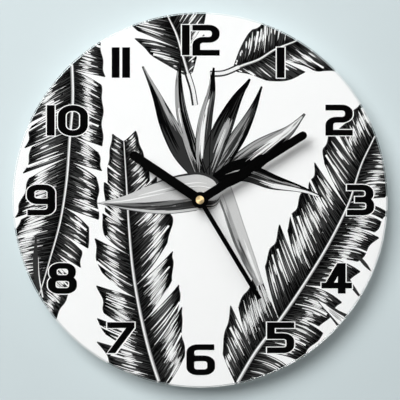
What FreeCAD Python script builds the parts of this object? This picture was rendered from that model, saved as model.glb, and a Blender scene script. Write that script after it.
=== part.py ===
import FreeCAD, Part

"""Round frameless wall clock: a printed glass disc on a battery quartz movement.

Millimetres.  X is the viewer's right, Z is up, and the wall is the plane Y = 0.  The dial faces -Y, so
"depth" below always means the distance in front of the wall, and a point at depth d has Y = -d.
The hands turn about the Y axis.  Angles on the dial are clockwise from 12, angles of the gear train
are anticlockwise from +X, both as seen from the front.
"""
import math
import os

import Sketcher

V = FreeCAD.Vector
FORWARD = V(0, -1, 0)

doc = FreeCAD.newDocument("printed_glass_wall_clock")
sizes = doc.addObject("Spreadsheet::Sheet", "sizes")

DRIVING = [
    # dial
    ("dial_diameter", 300, "printed glass disc"),
    ("glass_thick", 4, "float glass, edge ground and polished"),
    ("glass_edge", 0.8, "radius of the polished edge"),
    ("dial_bore", 9, "drilled hole for the movement's bush"),
    ("ink_thick", 0.15, "printed layer on the back of the glass"),
    ("film_thick", 0.2, "white backing film"),
    # movement case
    ("case_side", 56, "square quartz movement"),
    ("case_depth", 16, "wall to the front of the case"),
    ("case_wall", 1.4, "moulded side walls"),
    ("case_floor", 1.5, "front wall behind the dial"),
    ("case_corner", 3, "radius of the case's outer corners"),
    ("bay_floor", 1, "front wall under the battery"),
    ("bay_split", 1.2, "wall between train and battery"),
    ("bay_top", -11.2, "upper end of the battery bay, in Z"),
    ("case_edge", 0.8, "radius round the case's front face"),
    ("notch_half", 7, "half the width of the finger notch"),
    ("notch_deep", 5, "depth of the finger notch"),
    ("boss_radius", 1.4, "pivot bosses and stator posts"),
    ("boss_height", 0.9, "pivot bosses"),
    ("post_radius", 1, "posts of the bridge and the board"),
    ("pin_radius", 0.6, "staked pins of the bridge and the board"),
    ("stator_pin", 0.85, "staked pins of the stator"),
    ("work_post", 0.8, "post of the minute-work wheel"),
    ("cover_thick", 1.2, "rear cover plate"),
    ("play", 0.1, "gap between moulded parts that slide together"),
    # stack on the bush
    ("bracket_thick", 1, "steel hanging bracket"),
    ("bracket_wide", 18, "width of the bracket"),
    ("bracket_low", -10, "lower end of the bracket, in Z"),
    ("bracket_gap", 0.6, "between the case and the bracket's shelf"),
    ("fold_radius", 0.8, "outside of the bracket's folds"),
    ("eye_radius", 4, "hanging eye"),
    ("eye_plane", 1, "depth of the eye plate's back face"),
    ("eye_height", 37, "centre of the hanging eye above the arbor"),
    ("gasket_thick", 1, "rubber washer behind the dial"),
    ("gasket_radius", 11, "rubber washer"),
    ("thread_radius", 3.95, "M8 x 0.75 bush"),
    ("thread_pitch", 0.75, "pitch of the bush"),
    ("bush_bore", 2.63, "bore of the bush"),
    ("bush_end", 25.6, "depth of the bush's front end"),
    ("flange_radius", 6, "bush's flange, set into the case's floor"),
    ("flange_thick", 0.8, "bush's flange"),
    ("washer_thick", 0.5, "brass washer"),
    ("washer_radius", 6.3, "brass washer"),
    ("nut_flats", 11, "across the flats"),
    ("nut_thick", 2.2, "brass nut"),
    # hands
    ("shown_hours", 9.97, "time at which the hands stand"),
    ("shown_minutes", 9.65, "time at which the hands stand"),
    ("shown_seconds", 24.82, "time at which the hands stand"),
    ("hour_length", 67, "hour hand, arbor to tip"),
    ("hour_root", 7.8, "hour hand's width at the hub"),
    ("hour_tip", 7.3, "hour hand's width at the tip"),
    ("minute_length", 100, "minute hand, arbor to tip"),
    ("minute_root", 7.0, "minute hand's width at the hub"),
    ("minute_tip", 6.6, "minute hand's width at the tip"),
    ("second_length", 92, "second hand, arbor to tip"),
    ("second_wide", 3.6, "second hand's width"),
    ("hand_thick", 0.6, "stamped aluminium"),
    ("second_thick", 0.4, "stamped aluminium"),
    ("hand_break", 0.12, "broken front edge of a stamped hand"),
    ("hour_hub", 5.6, "radius of the hour hand's round hub"),
    ("minute_hub", 5.2, "radius of the minute hand's round hub"),
    ("second_hub", 6.5, "radius of the second hand's round hub"),
    ("hour_plane", 26.6, "depth of the hour hand's back face"),
    ("minute_plane", 29.2, "depth of the minute hand's back face"),
    ("second_plane", 31.4, "depth of the second hand's back face"),
    ("cap_radius", 3.5, "brass centre cap"),
    ("cap_height", 1.2, "brass centre cap"),
    # arbors and tubes
    ("arbor_radius", 0.5, "steel seconds arbor"),
    ("running_gap", 0.08, "radial clearance of coaxial arbors"),
    ("minute_tube", 1.6, "outer radius"),
    ("hour_tube", 2.55, "outer radius"),
    ("pivot_radius", 0.36, "steel and moulded pivots"),
    ("pivot_gap", 0.05, "radial clearance round a pivot"),
    # gear train: teeth and modules
    ("rotor_leaves", 10, "rotor pinion"),
    ("idler_teeth", 50, "intermediate wheel"),
    ("rotor_module", 0.25, "rotor pinion and intermediate wheel"),
    ("idler_leaves", 10, "intermediate pinion"),
    ("seconds_teeth", 60, "seconds wheel"),
    ("seconds_module", 0.3, "intermediate pinion and seconds wheel"),
    ("seconds_leaves", 8, "seconds pinion"),
    ("third_teeth", 60, "third wheel"),
    ("third_module", 0.3, "seconds pinion and third wheel"),
    ("third_leaves", 8, "third pinion"),
    ("centre_teeth", 64, "centre wheel"),
    ("cannon_leaves", 12, "cannon pinion"),
    ("minute_work_teeth", 36, "minute-work wheel"),
    ("setting_leaves", 10, "setting pinion"),
    ("cannon_module", 0.4, "cannon pinion, minute-work wheel and setting pinion"),
    ("minute_work_leaves", 10, "minute-work pinion"),
    ("hour_teeth", 40, "hour wheel"),
    # gear train: directions, anticlockwise from +X
    ("third_angle", 150, "seconds arbor to third arbor"),
    ("idler_angle", -5, "seconds arbor to intermediate arbor"),
    ("rotor_angle", 60, "intermediate arbor to rotor"),
    ("minute_work_angle", 75, "seconds arbor to minute-work post"),
    ("setting_angle", 95, "minute-work post to setting arbor"),
    # gear train: depths of the back faces
    ("idler_plane", 5.9, "intermediate wheel"),
    ("seconds_plane", 7.2, "seconds wheel"),
    ("third_plane", 8.8, "third wheel"),
    ("centre_plane", 10.2, "centre wheel"),
    ("minute_work_plane", 11.8, "minute-work wheel"),
    ("hour_wheel_plane", 13.1, "hour wheel"),
    ("bridge_plane", 1.7, "train bridge"),
    ("bridge_thick", 1, "train bridge"),
    # motor
    ("magnet_radius", 2.8, "ferrite rotor"),
    ("magnet_plane", 2.9, "depth of the magnet's back face"),
    ("magnet_thick", 2.3, "ferrite rotor"),
    ("stator_hole", 3.2, "rotor hole in the stator"),
    ("stator_plane", 3.8, "depth of the stator's back face"),
    ("lamination", 0.8, "stator and core plates"),
    ("stator_left", 12, "left edge of the stator"),
    ("stator_right", 18.5, "right edge of the stator"),
    ("stator_low", -8.5, "lower end of stator and core"),
    ("stator_high", 18.5, "upper end of stator and core"),
    ("tab_wide", 3, "end tabs of the core"),
    ("coil_x", 22.7, "coil axis"),
    ("coil_depth", 5, "coil axis"),
    ("coil_radius", 3.1, "outside of the winding"),
    ("coil_low", -4, "lower end of the bobbin"),
    ("coil_high", 14, "upper end of the bobbin"),
    # electronics
    ("board_plane", 2.6, "circuit board's back face"),
    ("board_thick", 0.8, "circuit board"),
    ("board_left", 12.5, "circuit board's left edge"),
    ("board_low", 14.8, "circuit board's lower edge"),
    ("board_edge", 26.3, "circuit board's right and upper edges"),
    ("contact_thick", 0.3, "nickel-plated strip"),
    ("strip_back", 9.5, "depth of the strips' back edge"),
    ("strip_front", 12.5, "depth of the strips' front edge"),
    # battery, AA size
    ("cell_radius", 7.25, "outside of the sleeve"),
    ("sleeve_thick", 0.15, "printed plastic sleeve"),
    ("cell_length", 50.5, "over the positive nub"),
    ("nub_radius", 2.75, "positive nub"),
    ("nub_height", 1, "positive nub"),
    ("cell_left", -24.2, "negative end, in X"),
    ("cell_depth", 7.65, "axis of the cell"),
    ("cell_z", -18.9, "axis of the cell"),
    # setting knob
    ("knob_radius", 5, "knob"),
    ("knob_back", 0.4, "depth of the knob's outer face"),
    ("knob_front", 2.6, "depth of the knob's inner face"),
    ("knob_notches", 20, "grip notches"),
    ("well_radius", 5.8, "well in the rear cover"),
    ("well_depth", 2.8, "well in the rear cover"),
    ("well_wall", 0.8, "wall and floor of the well"),
    ("setting_shaft", 1.2, "radius of the setting arbor"),
    # spacers between dial and wall
    ("spacer_radius", 7, "rubber spacer"),
    ("spacer_x", 62, "spacers, left and right"),
    ("spacer_z", -92, "spacers, below the arbor"),
    ("spacer_edge", 0.8, "rounded edge at the wall"),
]

for row, (alias, number, note) in enumerate(DRIVING, start=1):
    sizes.set(f"A{row}", alias)
    sizes.set(f"B{row}", str(number))
    sizes.set(f"C{row}", note)
    sizes.setAlias(f"B{row}", alias)
doc.recompute()


def value(expression):
    """The number that an expression on the sheet comes to."""
    found = sizes.evalExpression(str(expression))
    return float(getattr(found, "Value", found))


def cell(alias):
    return f"sizes.{alias}"


# Depths of the faces that the stack is built on, as expressions.
CASE_FRONT = cell("case_depth")
FLOOR = f"({cell('case_depth')} - {cell('case_floor')})"
GASKET_BACK = f"({CASE_FRONT} + {cell('bracket_thick')})"
FILM_BACK = f"({GASKET_BACK} + {cell('gasket_thick')})"
INK_BACK = f"({FILM_BACK} + {cell('film_thick')})"
GLASS_BACK = f"({INK_BACK} + {cell('ink_thick')})"
GLASS_FRONT = f"({GLASS_BACK} + {cell('glass_thick')})"
NUT_BACK = f"({GLASS_FRONT} + {cell('washer_thick')})"
CAP_BACK = f"({cell('second_plane')} + {cell('second_thick')})"
STATOR_FRONT = f"({cell('stator_plane')} + {cell('lamination')})"
CORE_FRONT = f"({STATOR_FRONT} + {cell('lamination')})"
BRIDGE_FRONT = f"({cell('bridge_plane')} + {cell('bridge_thick')})"

CASE_INSIDE = f"({cell('case_side')} / 2 - {cell('case_wall')})"
TRAIN_LOW = f"({cell('bay_top')} + {cell('bay_split')})"


# --- Arbor positions -----------------------------------------------------------------------------


def step(start, teeth_sum, module, angle):
    """The X and Z of an arbor, one meshing distance from start in the direction of an angle cell."""
    reach = value(f"({teeth_sum}) * {module} / 2")
    turn = math.radians(value(cell(angle)))
    return start[0] + reach * math.cos(turn), start[1] + reach * math.sin(turn)


CENTRE_MODULE = (
    f"({cell('seconds_leaves')} + {cell('third_teeth')}) * {cell('third_module')}"
    f" / ({cell('third_leaves')} + {cell('centre_teeth')})"
)
HOUR_MODULE = (
    f"({cell('cannon_leaves')} + {cell('minute_work_teeth')}) * {cell('cannon_module')}"
    f" / ({cell('minute_work_leaves')} + {cell('hour_teeth')})"
)
CENTRE = (0.0, 0.0)
THIRD = step(CENTRE, f"{cell('seconds_leaves')} + {cell('third_teeth')}", cell("third_module"), "third_angle")
IDLER = step(CENTRE, f"{cell('idler_leaves')} + {cell('seconds_teeth')}", cell("seconds_module"), "idler_angle")
ROTOR = step(IDLER, f"{cell('rotor_leaves')} + {cell('idler_teeth')}", cell("rotor_module"), "rotor_angle")
MINUTE_WORK = step(
    CENTRE, f"{cell('cannon_leaves')} + {cell('minute_work_teeth')}", cell("cannon_module"), "minute_work_angle"
)
SETTING = step(
    MINUTE_WORK, f"{cell('minute_work_teeth')} + {cell('setting_leaves')}", cell("cannon_module"), "setting_angle"
)
# Posts on the case floor, clear of every wheel.
BRIDGE_POSTS = [(-19.6, 9.3), (-19.6, -8.2), (10.9, 12.6)]
STATOR_POSTS = [(16.6, -7.0), (16.6, 17.0)]
BOARD_POSTS = [(24.4, 24.4), (13.8, 24.4)]


# --- PartDesign helpers --------------------------------------------------------------------------


def new_body(label, x=0.0, z=0.0):
    body = doc.addObject("PartDesign::Body", label)
    body.Placement.Base = V(x, 0, z)
    return body


def new_sketch(body, name, role, depth=None):
    """A sketch on one of the body's origin planes.  On XZ_Plane, depth puts it in front of the wall."""
    sketch = body.newObject("Sketcher::SketchObject", name)
    plane = [feature for feature in body.Origin.OriginFeatures if feature.Role == role][0]
    sketch.AttachmentSupport = [(plane, "")]
    sketch.MapMode = "FlatFace"
    if depth is not None:
        sketch.setExpression("AttachmentOffset.Base.z", str(depth))
    return sketch


def hold(sketch, kind, *where, size=None):
    """Adds a constraint, bound to an expression if it has a size."""
    if size is None:
        sketch.addConstraint(Sketcher.Constraint(kind, *where))
        return
    index = sketch.addConstraint(Sketcher.Constraint(kind, *where, value(size)))
    sketch.setExpression(f"Constraints[{index}]", str(size))


def hold_point(sketch, geometry, vertex, x, y):
    """Places a sketch point at expressions x and y from the origin."""
    for kind, coordinate in (("DistanceX", x), ("DistanceY", y)):
        if value(coordinate) == 0:
            axis = -2 if kind == "DistanceX" else -1
            hold(sketch, "PointOnObject", geometry, vertex, axis)
        else:
            hold(sketch, kind, -1, 1, geometry, vertex, size=coordinate)


def circle(sketch, radius, x="0", y="0"):
    centre = V(value(x), value(y), 0)
    index = sketch.addGeometry(Part.Circle(centre, V(0, 0, 1), value(radius)))
    hold_point(sketch, index, 3, x, y)
    hold(sketch, "Radius", index, size=radius)


def polygon(sketch, points):
    """A closed outline through points, each a pair of expressions."""
    places = [V(value(x), value(y), 0) for x, y in points]
    count = len(points)
    first = sketch.GeometryCount
    for index in range(count):
        sketch.addGeometry(Part.LineSegment(places[index], places[(index + 1) % count]))
    for index in range(count):
        hold(sketch, "Coincident", first + index, 2, first + (index + 1) % count, 1)
    for index, (x, y) in enumerate(points):
        hold_point(sketch, first + index, 1, x, y)


def disc(radius, x="0", z="0"):
    """Draws one circle."""
    return lambda sketch: circle(sketch, radius, x, z)


def discs(radius, places):
    """Draws a circle at each (x, z)."""

    def draw(sketch):
        for x, z in places:
            circle(sketch, radius, str(x), str(z))

    return draw


def outline(points):
    """Draws a closed outline through (x, z) pairs, numbers or expressions."""
    return lambda sketch: polygon(sketch, [(str(x), str(z)) for x, z in points])


def box(left, right, low, high):
    """Draws a rectangle."""
    return outline([(left, low), (right, low), (right, high), (left, high)])


def pad(body, sketch, length):
    """Adds material from the sketch towards the viewer."""
    feature = body.newObject("PartDesign::Pad", f"{body.Name}_pad")
    feature.Profile = sketch
    feature.setExpression("Length", str(length))
    doc.recompute()
    return feature


def pocket(body, sketch, length):
    """Cuts from the sketch towards the wall."""
    feature = body.newObject("PartDesign::Pocket", f"{body.Name}_pocket")
    feature.Profile = sketch
    feature.setExpression("Length", str(length))
    doc.recompute()
    return feature


def padded(body, draw, back, front):
    """Material between two depths; draw puts the outline in the sketch."""
    sketch = new_sketch(body, f"{body.Name}_outline", "XZ_Plane", back)
    draw(sketch)
    return pad(body, sketch, f"({front}) - ({back})")


def cut(body, draw, back, front):
    """A cut between two depths."""
    sketch = new_sketch(body, f"{body.Name}_cut", "XZ_Plane", front)
    draw(sketch)
    return pocket(body, sketch, f"({front}) - ({back})")


def turned(label, profile, x=0.0, z=0.0):
    """A body turned about its own Y axis, from (radius, depth) pairs of expressions."""
    body = new_body(label, x, z)
    sketch = new_sketch(body, f"{label}_profile", "XY_Plane")
    polygon(sketch, [(radius, f"-({depth})") for radius, depth in profile])
    feature = body.newObject("PartDesign::Revolution", f"{label}_turned")
    feature.Profile = sketch
    feature.ReferenceAxis = (sketch, ["V_Axis"])
    feature.Angle = 360
    doc.recompute()
    return body


def ring(label, outer, inner, back, front):
    """A flat ring about the arbor."""
    body = new_body(label)

    def draw(sketch):
        circle(sketch, outer)
        circle(sketch, inner)

    padded(body, draw, back, front)
    return body


def edges_where(shape, test):
    return [f"Edge{number}" for number, edge in enumerate(shape.Edges, start=1) if test(edge)]


def is_circle(radius, depth=None):
    """A test for full circles of that radius, at that depth if one is given."""

    def test(edge):
        curve = edge.Curve
        if not isinstance(curve, Part.Circle) or abs(curve.Radius - radius) > 1e-4:
            return False
        return depth is None or abs(curve.Center.y + depth) < 1e-4

    return test


def is_any_circle(radius):
    """A test for full circles of that radius about any axis."""
    return lambda edge: isinstance(edge.Curve, Part.Circle) and abs(edge.Curve.Radius - radius) < 1e-4


def at_depth(depth):
    """A test for edges that lie wholly at one depth."""
    return lambda edge: all(abs(vertex.Point.y + depth) < 1e-4 for vertex in edge.Vertexes)


def dress(body, kind, test, size):
    """A Fillet or Chamfer on the edges of the body's tip that pass the test."""
    tip = body.Tip
    names = edges_where(tip.Shape, test)
    if not names:
        raise RuntimeError(f"{body.Label}: no edge to dress")
    feature = body.newObject(f"PartDesign::{kind}", f"{body.Name}_{kind.lower()}")
    feature.Base = (tip, names)
    feature.setExpression("Radius" if kind == "Fillet" else "Size", str(size))
    doc.recompute()
    return feature


# --- Part helpers, for shapes worked out in code -------------------------------------------------


def drum(radius, back, front, x=0.0, z=0.0):
    """A plain cylinder between two depths."""
    return Part.makeCylinder(radius, front - back, V(x, -back, z), FORWARD)


def slab(left, right, back, front, low, high):
    return Part.makeBox(right - left, front - back, high - low, V(left, -front, low))


def shaped(label, shape, at=(0.0, 0.0)):
    """A sub-part whose shape is worked out in code, standing on the arbor position given."""
    feature = doc.addObject("Part::Feature", label)
    feature.Shape = shape.removeSplitter()
    feature.Placement = FreeCAD.Placement(V(at[0], 0, at[1]), FreeCAD.Rotation())
    return feature


# --- Gears ---------------------------------------------------------------------------------------
# Clockwork gearing: a wheel's teeth have radial flanks under the pitch circle and the epicycloid of a
# circle half as large as its pinion above it; a pinion's leaves have radial flanks and round tips.

WHEEL_SHARE, LEAF_SHARE = 0.45, 0.40  # tooth thickness as a share of the pitch
WHEEL_RISE, WHEEL_DROP, LEAF_DROP = 1.0, 0.95, 1.3  # in modules


def polar(radius, angle):
    return V(radius * math.cos(angle), 0, radius * math.sin(angle))


def epicycloid_turn(pitch_radius, roller, radius):
    """The angle by which the epicycloid has leaned over where it reaches radius."""
    arm = pitch_radius + roller
    cosine = (arm**2 + roller**2 - radius**2) / (2 * roller * arm)
    roll = math.acos(cosine) * roller / pitch_radius
    x = arm * math.cos(roll) - roller * math.cos(arm / roller * roll)
    z = arm * math.sin(roll) - roller * math.sin(arm / roller * roll)
    return math.atan2(z, x)


def wheel_tooth(teeth, module, pinion_leaves):
    """(root radius, half angle, edges of one tooth centred on angle 0 from its low to its high side)."""
    pitch_radius = teeth * module / 2
    root, tip = pitch_radius - WHEEL_DROP * module, pitch_radius + WHEEL_RISE * module
    half = WHEEL_SHARE * math.pi / teeth
    roller = pinion_leaves * module / 4
    middle = pitch_radius + WHEEL_RISE * module / 2
    half_middle = half - epicycloid_turn(pitch_radius, roller, middle)
    half_tip = half - epicycloid_turn(pitch_radius, roller, tip)

    def edges(angle):
        low = [polar(root, angle - half), polar(pitch_radius, angle - half)]
        low += [polar(middle, angle - half_middle), polar(tip, angle - half_tip)]
        high = [polar(root, angle + half), polar(pitch_radius, angle + half)]
        high += [polar(middle, angle + half_middle), polar(tip, angle + half_tip)]
        return [
            Part.LineSegment(low[0], low[1]).toShape(),
            Part.Arc(low[1], low[2], low[3]).toShape(),
            Part.LineSegment(low[3], high[3]).toShape(),
            Part.Arc(high[3], high[2], high[1]).toShape(),
            Part.LineSegment(high[1], high[0]).toShape(),
        ]

    return root, half, edges


def pinion_leaf(leaves, module):
    """As wheel_tooth, for a pinion."""
    pitch_radius = leaves * module / 2
    root = pitch_radius - LEAF_DROP * module
    half = LEAF_SHARE * math.pi / leaves
    tip = pitch_radius * math.cos(half) + pitch_radius * math.sin(half)

    def edges(angle):
        low = [polar(root, angle - half), polar(pitch_radius, angle - half)]
        high = [polar(root, angle + half), polar(pitch_radius, angle + half)]
        return [
            Part.LineSegment(low[0], low[1]).toShape(),
            Part.Arc(low[1], polar(tip, angle), high[1]).toShape(),
            Part.LineSegment(high[1], high[0]).toShape(),
        ]

    return root, half, edges


def toothed(teeth, tooth, phase, back, front):
    """A toothed disc between two depths, with a tooth centred on the angle phase."""
    root, half, edges_of = tooth
    edges = []
    for index in range(teeth):
        angle = phase + 2 * math.pi * index / teeth
        edges += edges_of(angle)
        gap_end = angle + 2 * math.pi / teeth - half
        edges.append(Part.LineSegment(polar(root, angle + half), polar(root, gap_end)).toShape())
    face = Part.Face(Part.Wire(edges))
    face.translate(V(0, -back, 0))
    return face.extrude(V(0, back - front, 0))


def meshing_phase(from_teeth, from_phase, from_at, to_teeth, to_at):
    """The phase at which a gear stands in mesh with one whose phase is known."""
    line = math.atan2(to_at[1] - from_at[1], to_at[0] - from_at[0])
    lag = from_teeth * (line - from_phase)
    return line + math.pi - (math.pi - lag) / to_teeth


def whole(alias):
    return int(value(cell(alias)))


def number(alias):
    return value(cell(alias))


def spoke_windows(number, inner, outer, rib, back, front):
    """The openings between the arms of a wheel."""
    windows = drum(outer, back, front).cut(drum(inner, back, front))
    for index in range(number):
        arm = slab(0, outer + 1, back, front, -rib / 2, rib / 2)
        arm.rotate(V(0, 0, 0), V(0, 1, 0), 360 * index / number)
        windows = windows.cut(arm)
    return windows


# --- Dial ----------------------------------------------------------------------------------------

DIAL_RADIUS = f"({cell('dial_diameter')} / 2)"
DIAL_BORE = f"({cell('dial_bore')} / 2)"
PRINT_RADIUS = f"({DIAL_RADIUS} - {cell('glass_edge')})"


def build_dial():
    glass = ring("glass_dial", DIAL_RADIUS, DIAL_BORE, GLASS_BACK, GLASS_FRONT)
    dress(glass, "Fillet", is_circle(value(DIAL_RADIUS)), cell("glass_edge"))
    ring("ink_layer", PRINT_RADIUS, DIAL_BORE, INK_BACK, GLASS_BACK)
    ring("backing_film", PRINT_RADIUS, DIAL_BORE, FILM_BACK, INK_BACK)
    for label, side in (("wall_spacer_left", -1), ("wall_spacer_right", 1)):
        spacer = new_body(label, side * value(cell("spacer_x")), value(cell("spacer_z")))
        padded(spacer, disc(cell("spacer_radius")), "0", FILM_BACK)
        dress(spacer, "Fillet", is_circle(value(cell("spacer_radius")), 0.0), cell("spacer_edge"))


# --- Fixing stack on the bush --------------------------------------------------------------------

STACK_HOLE = f"({cell('thread_radius')} + 0.15)"
BUSH_FLANGE = f"({FLOOR} + {cell('flange_thick')})"


def grooved(body, name, profile):
    """A groove turned about the body's own axis, from (radius, depth) pairs."""
    sketch = new_sketch(body, f"{name}_profile", "XY_Plane")
    polygon(sketch, [(radius, f"-({depth})") for radius, depth in profile])
    groove = body.newObject("PartDesign::Groove", name)
    groove.Profile = sketch
    groove.ReferenceAxis = (sketch, ["V_Axis"])
    groove.Angle = 360
    doc.recompute()
    return groove, sketch


def build_bush():
    thread, bore, pitch = cell("thread_radius"), cell("bush_bore"), cell("thread_pitch")
    bush = turned(
        "threaded_bush",
        [
            (bore, FLOOR),
            (cell("flange_radius"), FLOOR),
            (cell("flange_radius"), BUSH_FLANGE),
            (thread, BUSH_FLANGE),
            (thread, cell("bush_end")),
            (bore, cell("bush_end")),
        ],
    )
    # One V groove, repeated at the pitch of the thread.
    first = f"({CASE_FRONT} + {cell('bracket_thick')} / 2)"
    rim = f"{thread} + 0.05"
    groove, sketch = grooved(
        bush,
        "thread_groove",
        [
            (rim, f"{first} - {pitch} * 0.42"),
            (rim, f"{first} + {pitch} * 0.42"),
            (f"{thread} - {pitch} * 0.5", first),
        ],
    )
    spaces = int((value(cell("bush_end")) - value(first)) / value(pitch))
    pattern = bush.newObject("PartDesign::LinearPattern", "thread")
    pattern.Originals = [groove]
    pattern.Direction = (sketch, ["V_Axis"])
    pattern.Reversed = True
    pattern.Occurrences = spaces + 1
    pattern.Length = spaces * value(pitch)
    bush.Tip = pattern
    doc.recompute()


def build_nut():
    flat = f"({cell('nut_flats')} / 2)"
    corner = f"({flat} / cos(30 deg))"
    front = f"({NUT_BACK} + {cell('nut_thick')})"
    hexagon = [(f"{corner} * cos({60 * k} deg)", f"{corner} * sin({60 * k} deg)") for k in range(6)]
    nut = new_body("hex_nut")
    padded(nut, outline(hexagon), NUT_BACK, front)
    cut(nut, disc(f"({cell('thread_radius')} + 0.05)"), NUT_BACK, front)
    # The turned bevel that takes the front corners off.
    outside = f"({corner} + 0.5)"
    grooved(
        nut,
        "corner_bevel",
        [(flat, front), (outside, front), (outside, f"{front} - ({outside} - {flat}) * tan(30 deg)")],
    )


def build_bracket():
    """Sheet-steel hanger: a leg under the gasket, a shelf over the case and an upright eye plate."""
    half = f"({cell('bracket_wide')} / 2)"
    shelf_low = f"({cell('case_side')} / 2 + {cell('bracket_gap')})"
    shelf_high = f"({shelf_low} + {cell('bracket_thick')})"
    eye_back = cell("eye_plane")
    eye_front = f"({eye_back} + {cell('bracket_thick')})"
    eye_height = cell("eye_height")
    bracket = new_body("hanging_bracket")
    padded(bracket, box(f"-{half}", half, cell("bracket_low"), shelf_high), CASE_FRONT, GASKET_BACK)
    padded(bracket, box(f"-{half}", half, shelf_low, shelf_high), eye_back, CASE_FRONT)
    padded(bracket, box(f"-{half}", half, shelf_low, eye_height), eye_back, eye_front)
    padded(bracket, disc(half, "0", eye_height), eye_back, eye_front)
    cut(bracket, disc(cell("eye_radius"), "0", eye_height), eye_back, eye_front)
    cut(bracket, disc(STACK_HOLE), CASE_FRONT, GASKET_BACK)

    def is_fold(edge):
        """The outer edges of the two folds, across the strip."""
        first, last = edge.firstVertex().Point, edge.lastVertex().Point
        if abs(first.x - last.x) < value(cell("bracket_wide")) - 0.1:
            return False
        folds = [(value(GASKET_BACK), value(shelf_high)), (value(eye_back), value(shelf_low))]
        return any(abs(first.y + depth) < 1e-4 and abs(first.z - height) < 1e-4 for depth, height in folds)

    dress(bracket, "Fillet", is_fold, cell("fold_radius"))


def build_fixings():
    build_bush()
    build_bracket()
    ring("rubber_gasket", cell("gasket_radius"), STACK_HOLE, GASKET_BACK, FILM_BACK)
    ring("brass_washer", cell("washer_radius"), STACK_HOLE, GLASS_FRONT, NUT_BACK)
    build_nut()


# --- Movement case -------------------------------------------------------------------------------

BAY_FRONT = f"({CASE_FRONT} - {cell('bay_floor')})"
BOARD_FRONT = f"({cell('board_plane')} + {cell('board_thick')})"
PIVOT_HOLE = f"({cell('pivot_radius')} + {cell('pivot_gap')})"
PIN_HOLE = f"({cell('pin_radius')} + 0.05)"
STATOR_PIN_HOLE = f"({cell('stator_pin')} + 0.05)"


def catches(inner, outer):
    """The outlines of the rear cover's three catches, between two distances from the middle."""
    return [
        box(f"-({outer})", f"-({inner})", -3, 3),
        box(inner, outer, -9.4, -5.8),
        box(-20, -14, inner, outer),
    ]


def build_front_case():
    side, inside, play = f"({cell('case_side')} / 2)", CASE_INSIDE, cell("play")
    case = new_body("front_case")
    padded(case, box(f"-{side}", side, f"-{side}", side), "0", CASE_FRONT)
    dress(case, "Fillet", lambda edge: abs(edge.firstVertex().Y - edge.lastVertex().Y) > 1, cell("case_corner"))
    dress(case, "Fillet", at_depth(value(CASE_FRONT)), cell("case_edge"))
    cut(case, box(f"-{inside}", inside, TRAIN_LOW, inside), "0", FLOOR)
    cut(case, box(f"-{inside}", inside, f"-{inside}", cell("bay_top")), "0", BAY_FRONT)
    # The cover lies over the wall between train and battery, and the contacts pass through that wall.
    wall_low, wall_high = f"{cell('bay_top')} - 0.01", f"{TRAIN_LOW} + 0.01"
    cut(case, box(f"-{inside}", inside, wall_low, wall_high), "0", cell("cover_thick"))
    slot_back, slot_front = f"{cell('strip_back')} - {play}", f"{cell('strip_front')} + {play}"
    cut(case, box(f"-{inside}", f"-{inside} + 0.4", wall_low, wall_high), slot_back, slot_front)
    cut(case, box(f"{inside} - 0.4", inside, wall_low, wall_high), slot_back, slot_front)
    # Finger notch in the lower wall, to lift the cell out, and recesses for the cover's catches.
    notch = cell("notch_half")
    cut(case, box(f"-{notch}", notch, f"-{side} - 0.1", f"-{inside} + 0.01"), "0", cell("notch_deep"))
    for recess in catches(f"{inside} - 0.01", f"{inside} + 0.5"):
        cut(case, recess, "2.2", "3.2")
    # Bosses for the front pivots, a post for the minute-work wheel and staked posts for the plates.
    boss_back = f"({FLOOR} - {cell('boss_height')})"
    pivots = [THIRD, IDLER, ROTOR, SETTING]
    padded(case, discs(cell("boss_radius"), pivots), boss_back, FLOOR)
    padded(case, discs(cell("post_radius"), BRIDGE_POSTS), BRIDGE_FRONT, FLOOR)
    padded(case, discs(cell("pin_radius"), BRIDGE_POSTS), f"{cell('bridge_plane')} - 0.2", BRIDGE_FRONT)
    padded(case, discs(cell("boss_radius"), STATOR_POSTS), CORE_FRONT, FLOOR)
    padded(case, discs(cell("stator_pin"), STATOR_POSTS), f"{cell('stator_plane')} - 0.3", CORE_FRONT)
    padded(case, discs(cell("post_radius"), BOARD_POSTS), BOARD_FRONT, FLOOR)
    padded(case, discs(cell("pin_radius"), BOARD_POSTS), f"{cell('board_plane')} - 0.3", BOARD_FRONT)
    padded(case, discs(cell("work_post"), [MINUTE_WORK]), f"{cell('minute_work_plane')} - 0.2", FLOOR)
    cut(case, discs(PIVOT_HOLE, pivots), boss_back, f"{FLOOR} - 0.1")
    # Stepped hole for the bush.
    cut(case, disc(f"({cell('flange_radius')} + 0.05)"), FLOOR, BUSH_FLANGE)
    cut(case, disc(f"({cell('thread_radius')} + 0.05)"), BUSH_FLANGE, CASE_FRONT)


def build_rear_cover():
    edge = f"({CASE_INSIDE} - {cell('play')})"
    low = f"({cell('bay_top')} + {cell('play')})"
    well_x, well_z = str(SETTING[0]), str(SETTING[1])
    well_outside = f"({cell('well_radius')} + {cell('well_wall')})"
    well_front = f"({cell('well_depth')} + {cell('well_wall')})"
    cover = new_body("rear_cover")
    padded(cover, box(f"-{edge}", edge, low, edge), "0", cell("cover_thick"))
    padded(cover, disc(well_outside, well_x, well_z), "0", well_front)
    cut(cover, disc(cell("well_radius"), well_x, well_z), "0", cell("well_depth"))
    cut(cover, disc(f"({cell('setting_shaft')} + {cell('running_gap')})", well_x, well_z), "0", well_front)
    for arm in catches(f"{edge} - 1", edge):
        padded(cover, arm, cell("cover_thick"), "3.4")
    for nose in catches(f"{edge} - 0.5", f"{edge} + 0.4"):
        padded(cover, nose, "2.4", "3")
    # Shallow recess for a rating label.
    cut(cover, box(-23, -9, -7, 14), "0", "0.25")


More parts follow.
